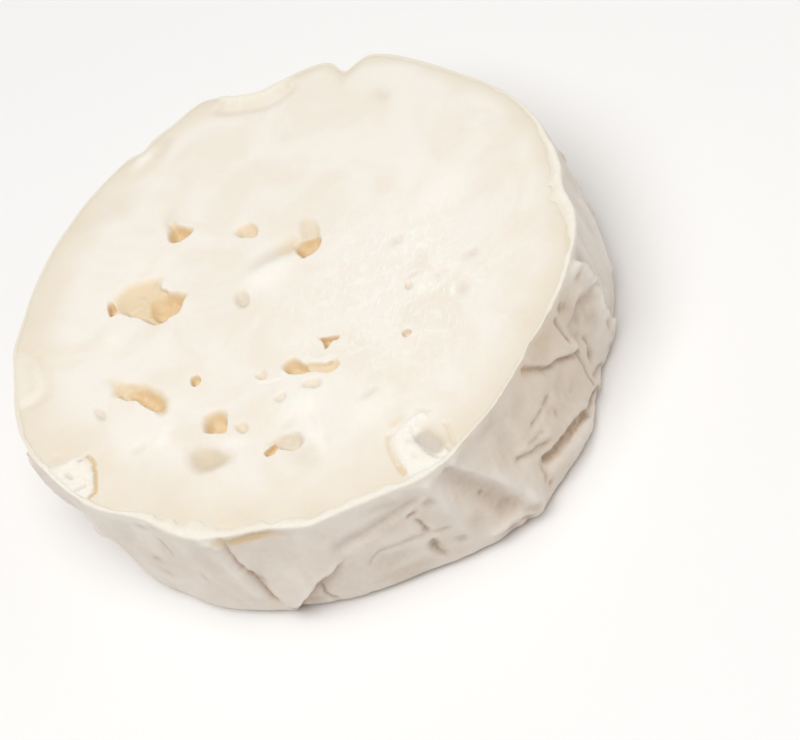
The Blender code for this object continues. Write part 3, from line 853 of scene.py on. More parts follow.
def new_material(finish: Finish) -> tuple[bpy.types.Material, Sheet, bpy.types.Node]:
    """Starts a material.

    Args:
        finish: the name, gloss and softness to set on the shader.

    Returns:
        The material, the sheet for its nodes and its Principled shader.
    """
    material = bpy.data.materials.new(finish.name)
    material.use_nodes = True
    sheet = Sheet(material.node_tree)
    shader = sheet.fill(
        material.node_tree.nodes["Principled BSDF"],
        Roughness=finish.roughness,
        Subsurface_Weight=finish.subsurface,
        Subsurface_Scale=finish.subsurface_scale,
        Subsurface_Radius=SCATTER,
        Sheen_Weight=finish.sheen,
        Sheen_Roughness=SHEEN_ROUGHNESS,
        Specular_IOR_Level=SPECULAR,
    )
    return material, sheet, shader


def knife_streaks(sheet: Sheet, place: Socket) -> Socket:
    """Fine lines along the way that the knife was drawn."""
    turned = sheet.node("ShaderNodeMapping", vector_type="TEXTURE")
    turn = (0.0, 0.0, math.radians(54.0))
    sheet.fill(turned, Vector=place, Rotation=turn, Scale=(3.6, 1.0, 1.0))
    drawn = sheet.noisy(turned.outputs["Vector"], Scale=1250.0, Detail=2.0)
    return sheet.ranged(drawn, 0.52, 0.66)


def paste_material(mottle: bpy.types.NodeTree) -> bpy.types.Material:
    """The pale, slightly moist paste with its tucked rind, smears and painted highlights, and
    painted shade in its dents and amber holes.
    """
    finish = PASTE_FINISH
    tone = finish.colours
    material, sheet, shader = new_material(finish)
    place = sheet.coordinates()
    clouds = sheet.group(
        mottle, Vector=place, Patch_Scale=75.0, Grain_Scale=1300.0, Low=0.38, High=0.64
    )
    flecks = sheet.group(
        mottle, Vector=place, Patch_Scale=430.0, Grain_Scale=4200.0, Low=0.50, High=0.64
    )
    amber, shade, crust, cream, drag, bright = map(sheet.reading, FACE_MARKS)
    streaks = sheet.times(knife_streaks(sheet, place), drag)

    colour = sheet.mixed(clouds.outputs["Mask"], tone["light"], tone["dark"])
    colour = sheet.mixed(cream, colour, tone["cream"])
    # Whiter smears, and painted highlights on lumps and ridges
    smear_and_highlight = sheet.times(flecks.outputs["Mask"], sheet.times(drag, 0.7))
    smear_and_highlight = sheet.maths("MAXIMUM", smear_and_highlight, sheet.times(streaks, 0.75))
    smear_and_highlight = sheet.maths("ADD", bright, smear_and_highlight)
    smear_and_highlight = sheet.times(smear_and_highlight, sheet.ranged(clouds.outputs["Height"], 0.25, 0.6, 0.7, 1.0))
    colour = sheet.mixed(sheet.maths("MINIMUM", smear_and_highlight, 1.0), colour, tone["bright"])
    colour = sheet.mixed(shade, colour, tone["shade"])
    # Amber: in holes and gaps painted shade and bounced light, elsewhere faint stains
    colour = sheet.mixed(sheet.ranged(amber, 0.0, 0.75), colour, tone["pale_amber"])
    colour = sheet.mixed(sheet.ranged(amber, 0.5, 1.0), colour, tone["deep_amber_hollow_shade"])
    skin = sheet.mixed(sheet.times(shade, 0.9), tone["crust"], tone["crust_shade"])
    colour = sheet.mixed(crust, colour, skin)

    gloss = sheet.glossed(finish, flecks.outputs["Height"])
    dull = sheet.maths("ADD", gloss, sheet.times(crust, 0.35))
    level = sheet.maths("SUBTRACT", clouds.outputs["Height"], 0.5)
    grainy = sheet.times(level, sheet.ranged(crust, 0.0, 1.0, 0.5, 2.4))
    normal = sheet.bumped(finish, sheet.maths("ADD", grainy, streaks))
    roughness = sheet.maths("MINIMUM", dull, 0.95)
    sheet.fill(shader, Base_Color=colour, Roughness=roughness, Normal=normal)
    return material


def rind_material(mottle: bpy.types.NodeTree) -> bpy.types.Material:
    """The matte white bloom of the rind, with brown painted shade in its creases, painted
    highlights on its ridges and a whiter lip.
    """
    finish = RIND_FINISH
    tone = finish.colours
    material, sheet, shader = new_material(finish)
    place = sheet.coordinates()
    clouds = sheet.group(
        mottle, Vector=place, Patch_Scale=110.0, Grain_Scale=2400.0, Low=0.38, High=0.66
    )
    felt = sheet.group(
        mottle, Vector=place, Patch_Scale=700.0, Grain_Scale=5200.0, Low=0.35, High=0.65
    )
    crease, ridge, lip, bloom, tan = map(sheet.reading, WALL_MARKS)
    fluff = felt.outputs["Mask"]

    colour = sheet.mixed(clouds.outputs["Mask"], tone["light"], tone["dark"])
    # Painted highlight on the ridges and lapped edges
    colour = sheet.mixed(sheet.times(ridge, 0.8), colour, tone["ridge"])
    # Painted shade in the creases and valleys, broken a little by the felt
    shaded_crease = sheet.times(crease, sheet.ranged(fluff, 0.0, 1.0, 0.75, 1.0))
    colour = sheet.mixed(shaded_crease, colour, tone["crease"])
    # Tan tints, with the painted shadow in the split under the lip
    colour = sheet.mixed(tan, colour, tone["tan"])
    white = sheet.times(bloom, sheet.ranged(fluff, 0.0, 1.0, 0.72, 1.0))
    edge = sheet.mixed(white, tone["edge"], tone["lip"])
    # The lip's white band, and painted highlights down the curl's edge
    colour = sheet.mixed(lip, colour, edge)

    uneven = sheet.maths("ADD", felt.outputs["Height"], clouds.outputs["Height"])
    height = sheet.maths("ADD", sheet.times(fluff, 0.5), uneven)
    sheet.fill(
        shader,
        Base_Color=colour,
        Roughness=sheet.glossed(finish, clouds.outputs["Height"]),
        Normal=sheet.bumped(finish, height),
    )
    return material


def new_object(name: str, data: bpy.types.ID) -> bpy.types.Object:
    """A new object in the scene."""
    made = bpy.data.objects.new(name, data)
    bpy.context.scene.collection.objects.link(made)
    return made


def finish_piece(
    name: str, mesh: bmesh.types.BMesh, material: bpy.types.Material
) -> bpy.types.Object:
    """Turns a bmesh into a piece that stands for the CAD solid.

    Args:
        name: the piece's name.
        mesh: its shape, which is freed.
        material: its finish.

    Returns:
        The new object, at the origin, with its place in its mesh.
    """
    data = bpy.data.meshes.new(name)
    mesh.to_mesh(data)
    mesh.free()
    data.materials.append(material)
    data.shade_smooth()
    piece = new_object(name, data)
    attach(piece, BODY)
    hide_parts(NODE)
    return piece


def boundary(mesh: bmesh.types.BMesh) -> list[bmesh.types.BMEdge]:
    """The edges at the rims of an open mesh."""
    return [edge for edge in mesh.edges if edge.is_boundary]


def close(mesh: bmesh.types.BMesh) -> None:
    """Fills a mesh's openings, and turns its faces outwards."""
    bmesh.ops.holes_fill(mesh, edges=boundary(mesh), sides=0)
    bmesh.ops.recalc_face_normals(mesh, faces=mesh.faces)


@dataclass
class Paste:
    """The paste: a disc with the cut face on top, which the rind holds all round.

    A place is fine, and gets smaller cells, near the edge of a deep enough hole, a rough enough
    patch or a narrow enough groove. A fine band is (how far outside, how far inside a hole).
    """

    cells: int = 214
    torn_from: float = 0.93
    fine_bands: Path = ((0.95, 2.2), (0.3, 0.75))
    deep_hole: float = 0.8
    rough_patch: float = 0.1
    narrow_groove: float = 0.8
    edge_fall: float = 0.06
    edge_run: float = 0.9
    cream_width: float = 10.5
    cream_swing: float = 6.5
    cream_angle: float = 216.0
    drag_centre: tuple[float, float] = (17.0, -13.0)
    drag_size: tuple[float, float] = (17.0, 19.0)
    name: str = "paste"
    features: tuple[Cave | Lump | Groove | Patch, ...] = CAVES + LUMPS + PATCHES + GROOVES

    def disc(self) -> bmesh.types.BMesh:
        """A flat disc of even cells, stretched to the rind's inner edge."""
        mesh = bmesh.new()
        bmesh.ops.create_grid(mesh, x_segments=self.cells, y_segments=self.cells, size=1.0)
        places = np.array([vertex.co[:2] for vertex in mesh.verts])
        u, v = places.T
        flat = np.column_stack((u * np.sqrt(1.0 - v * v / 2.0), v * np.sqrt(1.0 - u * u / 2.0)))
        angles = np.degrees(np.arctan2(flat[:, 1], flat[:, 0])) % 360.0
        smooth = rim_radius(angles) - around(angles, LIP_WIDTHS)
        torn = rim_radius(angles) - lip_width(angles)
        share = smooth_step(self.torn_from, 1.0, np.hypot(*flat.T))
        flat *= (smooth + (torn - smooth) * share)[:, None]
        for vertex, (x, y) in zip(mesh.verts, flat):
            vertex.co = (x, y, THICKNESS)
        return mesh

    def split(self, mesh: bmesh.types.BMesh, band: float, deepest: float) -> None:
        """Halves the cells whose middles are in fine places."""
        faces = list(mesh.faces)
        middles = np.array([face.calc_center_median()[:2] for face in faces])
        chosen = self.fine_places(middles, band, deepest)
        edges = {edge for face, wanted in zip(faces, chosen) if wanted for edge in face.edges}
        bmesh.ops.subdivide_edges(mesh, edges=list(edges), cuts=1, use_grid_fill=True)

    def fine_places(self, middles: np.ndarray, band: float, deepest: float) -> np.ndarray:
        """Finds the fine places.

        Args:
            middles: places on the face, one row of two each.
            band: how far from an edge a fine place is, in millimetres.
            deepest: how far inside a hole a fine place is, in millimetres.

        Returns:
            Whether each place is fine.
        """
        near = np.zeros(len(middles), dtype=bool)
        for feature in self.features:
            if isinstance(feature, Cave) and feature.depth > self.deep_hole:
                corners = rounded(feature.mouth)
            elif isinstance(feature, Patch) and feature.roughness > self.rough_patch:
                corners = rounded(feature.outline)
            elif isinstance(feature, Groove) and feature.width < self.narrow_groove:
                corners = np.array(feature.path, dtype=float)
            else:
                continue
            chosen = near_box(middles, corners, band)
            if isinstance(feature, Groove):
                near[chosen] |= reach_of(middles[chosen], corners).distance < band
            elif isinstance(feature, Patch):
                near[chosen] |= depth_inside(middles[chosen], corners) > -band
            else:
                inward = depth_inside(middles[chosen], corners)
                near[chosen] |= (inward > -band) & (inward < deepest)
        return near

    def relief(self, mesh: bpy.types.Mesh) -> None:
        """Gives the top its relief and stores the marks."""
        places = np.zeros(len(mesh.vertices) * 3)
        mesh.vertices.foreach_get("co", places)
        places = places.reshape(-1, 3)
        top = places[:, 2] > THICKNESS - 0.01
        points = places[top, :2]
        face = CutFace.plain(points)
        for feature in self.features:
            feature.press(face)
        angles = np.degrees(np.arctan2(points[:, 1], points[:, 0])) % 360.0
        from_rim = rim_radius(angles) - np.hypot(*points.T)
        self.tint(face, angles, from_rim)
        from_edge = from_rim - lip_width(angles)
        fall = self.edge_fall * (1.0 - smooth_step(0.0, self.edge_run, from_edge)) ** 2
        fall *= 0.25 + 0.75 * around(angles, LIP_BLOOM)
        uneven = layered(flat_points(points), FACE_GRAIN)
        places[top, 2] = THICKNESS + uneven + face.raised - face.sunk - fall
        mesh.vertices.foreach_set("co", in_place(places).ravel())
        marks = {kind: np.zeros(len(places)) for kind in face.marks}
        for kind, values in face.marks.items():
            marks[kind][top] = values
        store_marks(mesh, marks)
        mesh.update()

    def tint(self, face: CutFace, angles: np.ndarray, from_rim: np.ndarray) -> None:
        """Marks the creamy zone under the rind and the part where the knife dragged."""
        cloudy = layered(flat_points(face.points), FACE_CLOUDS)
        swing = self.cream_swing * np.cos(np.radians(angles - self.cream_angle))
        wide = self.cream_width + swing + 2.5 * cloudy
        creamy = (1.0 - smooth_step(0.0, 1.0, from_rim / wide)) * (0.75 + 0.25 * cloudy)
        face.marks[Mark.CREAM] = np.clip(creamy, 0.0, 1.0)
        middle = np.exp(-(((face.points - self.drag_centre) / self.drag_size) ** 2).sum(1))
        face.marks[Mark.DRAG] = np.clip(1.5 * middle * (0.8 + 0.6 * cloudy), 0.0, 1.0)

    def build(self, material: bpy.types.Material) -> bpy.types.Object:
        """Models the paste and dresses it."""
        mesh = self.disc()
        for band, deepest in self.fine_bands:
            self.split(mesh, band, deepest)
        for edge in mesh.edges:
            edge.smooth = not edge.is_boundary
        taken = 0.0
        for height, inset in SIDE_PROFILE:
            made = bmesh.ops.extrude_edge_only(mesh, edges=boundary(mesh))["geom"]
            for corner in (item for item in made if isinstance(item, bmesh.types.BMVert)):
                kept = 1.0 - (inset - taken) / math.hypot(corner.co.x, corner.co.y)
                corner.co = (corner.co.x * kept, corner.co.y * kept, height)
            taken = inset
        close(mesh)
        piece = finish_piece(self.name, mesh, material)
        self.relief(piece.data)
        return piece


class FoldKind(Enum):
    """How the rind folds along a line on the wall."""

    CREASE = "a sharp valley"
    RIDGE = "a sharp raised line"
    LAP = "one side lies over the other"
    VALLEY = "a broad soft valley"
    SPLIT = "a deep open gap with steep sides"


@dataclass
class Wall(Surface):
    """The wall of the rind while its folds are worked out."""

    angles: np.ndarray
    heights: np.ndarray
    push: np.ndarray

    @classmethod
    def plain(cls, angles: np.ndarray, heights: np.ndarray) -> "Wall":
        """A wall with no folds yet."""
        places = ring_points(angles, heights)
        wander = np.column_stack([layered(places, layers) for layers in WALL_WANDER])
        marks = {kind: np.zeros(len(angles)) for kind in WALL_MARKS}
        return cls(wander, marks, angles, heights, np.zeros(len(angles)))

    def across(self, angle: float) -> np.ndarray:
        """How far each point lies round the wall from an angle, in millimetres."""
        return turn_between(self.angles, angle) * MM_PER_DEGREE

    def crumple(self) -> None:
        """Adds the small wrinkles that run all over the rind."""
        places = ring_points(self.angles, self.heights)
        leaning = places * (1.0, 1.0, WRINKLE_LEAN)
        front = np.exp(-((turn_between(self.angles, WRINKLED_ANGLE) / WRINKLED_SPREAD) ** 2))
        for size, seed, level, sharpness, strength, more in WRINKLES:
            ridged = level - np.abs(grain(leaning, size, seed)) * sharpness
            self.push += (strength + more * front) * ridged
        self.push += layered(places, WALL_GRAIN)


@dataclass(frozen=True)
class Fold:
    """A fold of the rind along a path of (angle, height) points, its sizes in millimetres."""

    kind: FoldKind
    spread: float
    size: float
    path: Path
    tint: float

    def section(
        self, share: np.ndarray, signed: np.ndarray
    ) -> tuple[np.ndarray, np.ndarray | float, np.ndarray | float]:
        """The fold's form across its path.

        Args:
            share: how near each point is, from 0 at the fold's edge to 1 on its path.
            signed: the distance to the path, above 0 on its left.

        Returns:
            The push outwards, the painted shade and the painted highlight at each point.
        """
        if self.kind is FoldKind.CREASE:
            return -self.size * share**2, share**3, 0.0
        if self.kind is FoldKind.SPLIT:
            push = -self.size * smooth_step(0.0, 0.85, share)
            return push, smooth_step(0.3, 0.62, share), 0.0
        if self.kind is FoldKind.RIDGE:
            return self.size * share**1.6, 0.0, (0.5 + 0.5 * self.tint) * share**2.5
        if self.kind is FoldKind.VALLEY:
            return -self.size * (1.0 - (1.0 - share) ** 2) ** 2, 0.5 * share**1.5, 0.0
        over = smooth_step(-0.14, 0.14, signed)
        push = self.size * (over * share**1.2 - 0.45 * (1.0 - over) * share**3)
        return push, (1.0 - over) * share**4, over * share**9

    def press(self, wall: Wall) -> None:
        """Pushes the wall in or out along the fold, and tints it."""
        corners = np.array(self.path, dtype=float)
        middle = corners[:, 0].mean()
        corners[:, 0] = turn_between(corners[:, 0], middle) * MM_PER_DEGREE
        points = np.column_stack((wall.across(middle), wall.heights))
        chosen = near_box(points, corners, self.spread)
        loose = SPLIT_WANDER if self.kind is FoldKind.SPLIT else 1.0
        reach = reach_of(points[chosen] + loose * wall.wander[chosen], corners)
        taper = smooth_step(-0.6, 0.6 * self.spread, reach.from_end)
        share = np.clip(1.0 - reach.distance / self.spread, 0.0, 1.0)
        push, dark, light = self.section(share, reach.distance * reach.side)
        wall.push[chosen] += push * taper
        # Painted shade along the fold's hollow, painted highlight along its ridge or lapped edge
        wall.mark(Mark.CREASE, chosen, self.tint * dark * taper)
        wall.mark(Mark.RIDGE, chosen, light * taper)


@dataclass(frozen=True)
class Pit:
    """A round dent, lump or tint on the wall at (angle, height): a stain, painted shade or a
    painted highlight by its kind.
    """

    angle: float
    height: float
    width: float
    tall: float
    size: float
    kind: Mark
    strength: float

    def press(self, wall: Wall) -> None:
        """Pushes the wall, and tints it."""
        across = wall.across(self.angle) + wall.wander[:, 0]
        up = wall.heights - self.height + wall.wander[:, 1]
        share = np.exp(-((across / self.width) ** 2) - (up / self.tall) ** 2)
        wall.push += self.size * share
        wall.mark(self.kind, np.arange(len(share)), self.strength * share)


# Short names of the kinds of fold, for the table
CREASE = FoldKind.CREASE
RIDGE = FoldKind.RIDGE
LAP = FoldKind.LAP
VALLEY = FoldKind.VALLEY
SPLIT = FoldKind.SPLIT

# The folds that show on the front of the wall, from left to right. The left side of a lap's
# path, looking along it, lies over the right side.
FRONT_FOLDS: tuple[Fold, ...] = (
    # left of the split in the lip
    Fold(VALLEY, 4, 0.5, ((209.6, 22), (209.5, 18), (209.4, 13)), 0.15),
    Fold(CREASE, 1.7, 0.5, ((217.8, 19.4), (219.4, 17.4), (220.4, 15.4)), 0.5),
    Fold(VALLEY, 3, 0.45, ((228.6, 22), (228.5, 17.7), (229.5, 15), (230.6, 12.6)), 0.25),
    Fold(CREASE, 1.1, 0.2, ((225.6, 12.8), (226.3, 10.4)), 0.35),
    Fold(RIDGE, 1.3, 0.4, ((228.6, 24), (231.3, 23.3), (233.4, 21.4)), 0),
    # split in the lip and the crease under it
    Fold(CREASE, 1.4, 0.3, ((233.6, 23.3), (238.6, 23.1), (244.4, 22.8)), 0),
    Fold(CREASE, 1.2, 0.55, ((234.5, 22.6), (234.6, 20.2), (235.1, 17.1), (235.8, 13.8)), 0.8),
    Fold(CREASE, 1.7, 0.75, ((235.8, 14), (236.4, 11.4), (236.9, 9.1), (237.5, 7.1), (238.4, 4.4)),
        1),
    Fold(RIDGE, 2.6, 0.4, ((232.4, 21), (233.2, 16), (234.2, 11), (235.6, 5)), 0),
    # lap down to the foot with its crescent
    Fold(LAP, 6, 1.5, ((239.4, 1.2), (240, 2.3), (242.1, 4.1), (244.5, 6), (247.1, 8.4),
        (249.2, 10.2), (251.2, 11.7), (253, 12.8), (254.4, 13)), 1),
    Fold(CREASE, 1.5, 0.6, ((247.6, 8.9), (247.5, 7), (247.5, 5), (248.1, 3.1), (249.5, 2.5)),
        0.85),
    # valley under the rim
    Fold(VALLEY, 2.3, 0.6, ((253.6, 15.9), (256.4, 16.7), (258.4, 16.9), (260.6, 17.1),
        (262.8, 17.5), (265, 18.2), (268.1, 19.2), (271.6, 19.5)), 0.75),
    Fold(RIDGE, 1.3, 0.4, ((268.2, 17.7), (270.6, 18.8), (272.6, 19.7)), 0.3),
    Fold(CREASE, 1.3, 0.5, ((267.8, 16.6), (268.6, 16.9), (270, 17.5)), 0.9),
    # broken line with its arc
    Fold(CREASE, 1.5, 0.7, ((269.4, 15.8), (269.8, 14.6), (269.9, 12.9), (270.1, 10.8)), 0.85),
    Fold(CREASE, 2.2, 1, ((269.8, 9.8), (270, 7.8), (270.2, 5.4), (270.6, 3.6)), 0.85),
    Fold(CREASE, 1.9, 0.3, ((257.6, 8.9), (258.8, 10), (260.6, 11.1), (262.2, 11.4), (264.6, 11.4),
        (267.5, 11.4), (270, 10.9)), 0.45),
    Fold(CREASE, 1.5, 0.4, ((270, 11), (271.9, 11), (274, 10.6)), 0.5),
    # long ridge from under the tucked rind, and the valley beside it in brown painted shade
    Fold(RIDGE, 3.2, 0.6, ((274.2, 23.5), (274.7, 19), (275.2, 14.4), (275.6, 9.9), (275.7, 3.7)),
        0),
    Fold(VALLEY, 4.8, 2, ((278.2, 24), (279.4, 19.5), (280.8, 15.6), (282.4, 11.6), (284, 8.4),
        (286.2, 5.2)), 0.8),
    Fold(RIDGE, 4, 1.9, ((278.8, 24), (280.2, 21.7), (281.9, 18.4), (283.5, 15.3), (285.2, 12.4),
        (286.7, 9.3), (288.2, 5.9), (289.5, 2.4)), 0.5),
    Fold(RIDGE, 3.4, 0.2, ((278.8, 23.6), (280.2, 21.7), (281.9, 18.4), (283.5, 15.3),
        (285.2, 12.4), (286.7, 9.3), (288.2, 5.9), (289.5, 2.4)), 1),
    Fold(RIDGE, 1.8, 0.7, ((278.6, 4.1), (282.8, 4.4), (286.6, 3.4), (289, 2.4)), 0),
    Fold(CREASE, 1.3, 0.5, ((284.4, 3.4), (286.2, 2.3), (288.2, 2)), 0.9),
    # facets between the long ridge and the open gap
    Fold(VALLEY, 3, 0.5, ((292, 21.4), (291.1, 17.3), (290.4, 15.3)), 0.3),
    Fold(RIDGE, 1.7, 0.4, ((290.3, 13.6), (293, 13.2), (295.8, 12.2), (299, 10.8)), 0),
    Fold(CREASE, 2, 0.8, ((289.5, 12.3), (290.8, 11.9), (292.4, 11.4), (294.4, 10.8), (297.4, 9.8)),
        0.7),
    Fold(CREASE, 1.4, 0.45, ((297.6, 12.2), (295.1, 12.7), (292.9, 13.4)), 0.6),
    Fold(CREASE, 1.8, 0.6, ((303.8, 14.4), (301.6, 14.5), (300.2, 14.6)), 0.8),
    Fold(CREASE, 1.4, 0.5, ((300.4, 14.6), (298.4, 14.4), (295.6, 14.4)), 0.65),
    # dark line from the rim with its knot and its branches
    Fold(CREASE, 2, 0.8, ((301.4, 22.8), (303.4, 20.6), (306.3, 17.8), (308.1, 16.5), (309.9, 15.5),
        (311.9, 14.2), (314.4, 12.4)), 0.9),
    Fold(LAP, 4, 0.5, ((302.4, 22.6), (303.8, 21.1), (306.7, 18.3), (310.3, 15.9), (314.6, 13.1)),
        0),
    Fold(VALLEY, 2.2, 0.4, ((312.5, 13.8), (310.7, 14), (308.5, 13.6), (305.7, 13.6)), 0.45),
    Fold(CREASE, 1.25, 0.5, ((314.2, 12.4), (313.7, 10.6), (313.4, 8), (313.2, 6.2), (313.2, 4.2)),
        0.85),
    # open gap and the flap under it
    Fold(SPLIT, 1.45, 0.95, ((308, 3.6), (305.9, 4.8), (303.9, 5.6), (301.7, 6.3), (299.4, 6.9),
        (297.2, 7.3), (295.1, 7.7), (293.6, 8.1)), 1),
    Fold(RIDGE, 3, 0.8, ((309.6, 0.4), (305.9, 2.6), (301.7, 4.1), (297.2, 5.1), (293, 5.8)), 0.3),
    Fold(CREASE, 1.5, 1, ((314.6, 2), (312.5, 2.8), (310.5, 3.6), (308.6, 4.2)), 1),
    Fold(CREASE, 1.4, 0.5, ((293.2, 8), (292.8, 6.1), (291.8, 4.6)), 0.65),
    # facets under the curled rind
    Fold(CREASE, 1.4, 0.55, ((315, 21.4), (314.7, 19.4), (314.6, 18.1), (314.5, 15.8)), 0.8),
    Fold(VALLEY, 2.6, 1, ((328.6, 13.6), (327.3, 14.4), (324, 15.9), (322, 16.9), (319.9, 16.8),
        (317.6, 16.7), (316.9, 14.5), (318.5, 12.2)), 1),
    Fold(RIDGE, 2, 0.5, ((325.4, 19.2), (320.5, 18.9), (317.2, 18.8)), 0),
    Fold(CREASE, 1.7, 0.6, ((318.4, 12.6), (318.7, 10.8), (318.3, 9), (317.4, 8)), 0.7),
    Fold(CREASE, 1.8, 0.7, ((314.4, 5.4), (315.4, 4.6), (318.4, 2.9), (321, 1.4)), 0.7),
    # edge of the curl, which lies over the band behind it
    Fold(LAP, 6.5, 1.2, ((329.2, 0.5), (328.6, 4.3), (327.7, 6.7), (326.9, 9.5), (327, 11.4),
        (328.4, 12.5), (328.6, 14.5), (329.2, 16.4), (328.6, 18.4), (328.8, 20.3), (327.4, 22.6),
        (326.1, 25)), 0.9),
    Fold(RIDGE, 1.7, 0.3, ((326.3, 23.6), (327.5, 22.9), (327.8, 21.6), (328.9, 21), (328.3, 19.7),
        (328.9, 18.8), (328.5, 17.6), (329.2, 16.8), (328.5, 15.6), (328.6, 13.8), (328, 12.6),
        (326.6, 11.7), (326.9, 9.8), (327.3, 8), (327.8, 6.2), (328.4, 5)), 1),
    Fold(VALLEY, 3.2, 0.5, ((335, 24), (335.4, 18), (334, 12), (333, 8)), 0.4),
    Fold(RIDGE, 2.6, 0.5, ((338.6, 17.5), (338.5, 12.6), (337.9, 9.7), (338.3, 5)), 0),
)

# Dents, knots, painted shade, painted highlights and tan tints on the wall: (angle, height, width,
# tall, push, strength) of each mark
PIT_ROWS: dict[Mark, Rows] = {
    # Painted shade: dark knots, dents and broad darker zones of the wall
    Mark.CREASE: (
        (215, 21.6, 1.8, 0.8, -0.1, 0.4), (214.9, 12.5, 1.1, 1, -0.25, 0.4),
        (215.1, 8.3, 1.4, 1.2, -0.2, 0.22), (235.5, 15.3, 0.55, 0.8, -0.4, 1),
        (236.1, 13.3, 0.65, 0.8, -0.4, 1), (237.1, 11.4, 1.2, 2.2, -0.3, 0.6),
        (236.4, 22.6, 1.6, 0.5, -0.15, 0.7), (244.8, 3.2, 2.4, 1.5, -0.2, 0.5),
        (241.4, 2.2, 1.4, 1.2, -0.3, 1), (265.8, 21.4, 3.4, 1, -0.1, 0.3),
        (262.5, 8.4, 4.5, 2.2, -0.2, 0.3), (263, 4, 6, 2, -0.1, 0.3),
        (272.6, 18.4, 1.6, 1.2, -0.2, 0.5), (269.9, 12.1, 0.6, 0.9, -0.3, 0.9),
        (270, 7.2, 0.8, 1.5, -0.3, 0.9), (274.4, 7.3, 1.2, 0.9, -0.35, 0.55),
        (282.6, 10.6, 2.4, 2.6, -0.2, 0.5), (281.6, 11.8, 0.7, 0.8, -0.2, 0.85),
        (284.2, 6.8, 2.6, 1.8, -0.2, 0.65), (287, 4.6, 1.6, 1.2, -0.1, 0.5),
        (278.6, 22.2, 1.2, 1.4, -0.2, 0.5), (282.4, 1.8, 1.9, 1.3, -1.2, 1),
        (289.6, 22, 2.4, 1.8, -0.25, 0.35), (301.2, 13, 1.8, 1, -0.2, 0.4),
        (301.8, 11.3, 0.8, 0.8, -0.3, 0.7), (307.4, 10.2, 1, 0.9, -0.25, 0.45),
        (302, 13, 14, 11, 0, 0.13), (255, 10, 9, 6, 0, 0.1), (273, 18, 3.5, 5, 0, 0.12),
        (290, 16, 2.6, 6, 0, 0.22), (264.5, 15.8, 3.5, 1.8, -0.1, 0.22),
        (278.4, 9.6, 2, 2, 0, 0.25), (218.5, 15, 2.5, 4.5, 0, 0.12), (306, 12, 7, 5, 0, 0.26),
        (275.5, 14, 4, 6, 0, 0.1), (296.6, 20.2, 4.2, 2.6, -0.1, 0.2),
        (307, 20.4, 5, 2.2, 0, 0.24), (318.6, 19.4, 2.2, 1.6, -0.1, 0.42),
        (322, 13.6, 2, 3.4, -0.1, 0.35), (292.6, 3.7, 0.6, 0.6, -0.4, 0.8),
        (314.5, 12.6, 0.8, 0.8, -0.5, 1), (317.8, 21.3, 1.2, 0.9, -0.5, 1),
        (318.8, 20.4, 1, 0.8, -0.2, 0.7), (314.9, 21.1, 0.6, 0.7, -0.3, 0.9),
        (314.6, 16.3, 0.6, 0.7, -0.3, 0.9), (317.5, 8.1, 1.1, 0.9, -0.4, 0.8),
        (319.6, 15.8, 1.8, 1.2, 0, 0.45), (325.9, 6.9, 0.9, 1.3, -0.35, 0.55),
        (324, 2.8, 0.8, 0.7, -0.2, 0.6), (325.6, 21.3, 1.4, 0.8, -0.35, 0.6),
    ),
    # The lip's white; the spots down the curl's edge near 327 degrees are painted highlights
    Mark.LIP: (
        (231.4, 22.6, 1.3, 0.7, 0.3, 1), (233, 21.7, 0.9, 0.6, 0.35, 1),
        (325.7, 23, 2.4, 1.3, 0.4, 1.2), (327.5, 20.9, 1, 0.9, 0.35, 1.3),
        (327.9, 18.5, 0.9, 0.8, 0.3, 1.2), (328.1, 16, 0.9, 0.8, 0.3, 1.2),
        (327.8, 13.6, 0.8, 0.7, 0.2, 1.1), (326, 11.4, 0.9, 0.7, 0.15, 1.1),
        (326.2, 8.6, 0.9, 0.9, 0.15, 0.9), (327.2, 5.6, 0.8, 0.9, 0.1, 0.8),
    ),
    # Tan tints; the long one under the split lip near 239 degrees is painted shadow in the gap
    # between rind and paste
    Mark.TAN: (
        (234.4, 23.5, 0.7, 0.6, -0.1, 0.9), (218.4, 22.6, 1.4, 0.7, -0.15, 0.35),
        (239.4, 22.5, 5.2, 0.8, -0.25, 1.7), (302, 12, 15, 12, 0, 0.22), (310, 22, 12, 6, 0, 0.42),
        (285.4, 8.6, 3.4, 3.4, 0, 0.15), (303, 21.2, 1.6, 1.1, 0, 0.75),
        (308.6, 22.4, 2.2, 1, 0, 0.7), (325.6, 3.5, 0.5, 0.6, 0, 0.9),
    ),
    # Painted highlights: lighter patches of the wall
    Mark.RIDGE: (
        (212, 21.6, 7, 2.4, 0, 0.45), (227, 21, 7, 3, 0, 0.25), (338.5, 21, 3, 3, 0, 0.5),
        (335, 18, 4, 7, 0, 0.55), (315.5, 14.1, 1.5, 1, 0.5, 0.7), (327.9, 5, 0.8, 0.9, 0.15, 0.9),
    ),
}
PITS = tuple(Pit(*row[:5], kind, row[5]) for kind, rows in PIT_ROWS.items() for row in rows)

# Rule for the folds on the side that the camera can't see
BACK_SEED = 12
BACK_FOLD_COUNT = 30
BACK_FOLD_ANGLES = (343.0, 565.0)


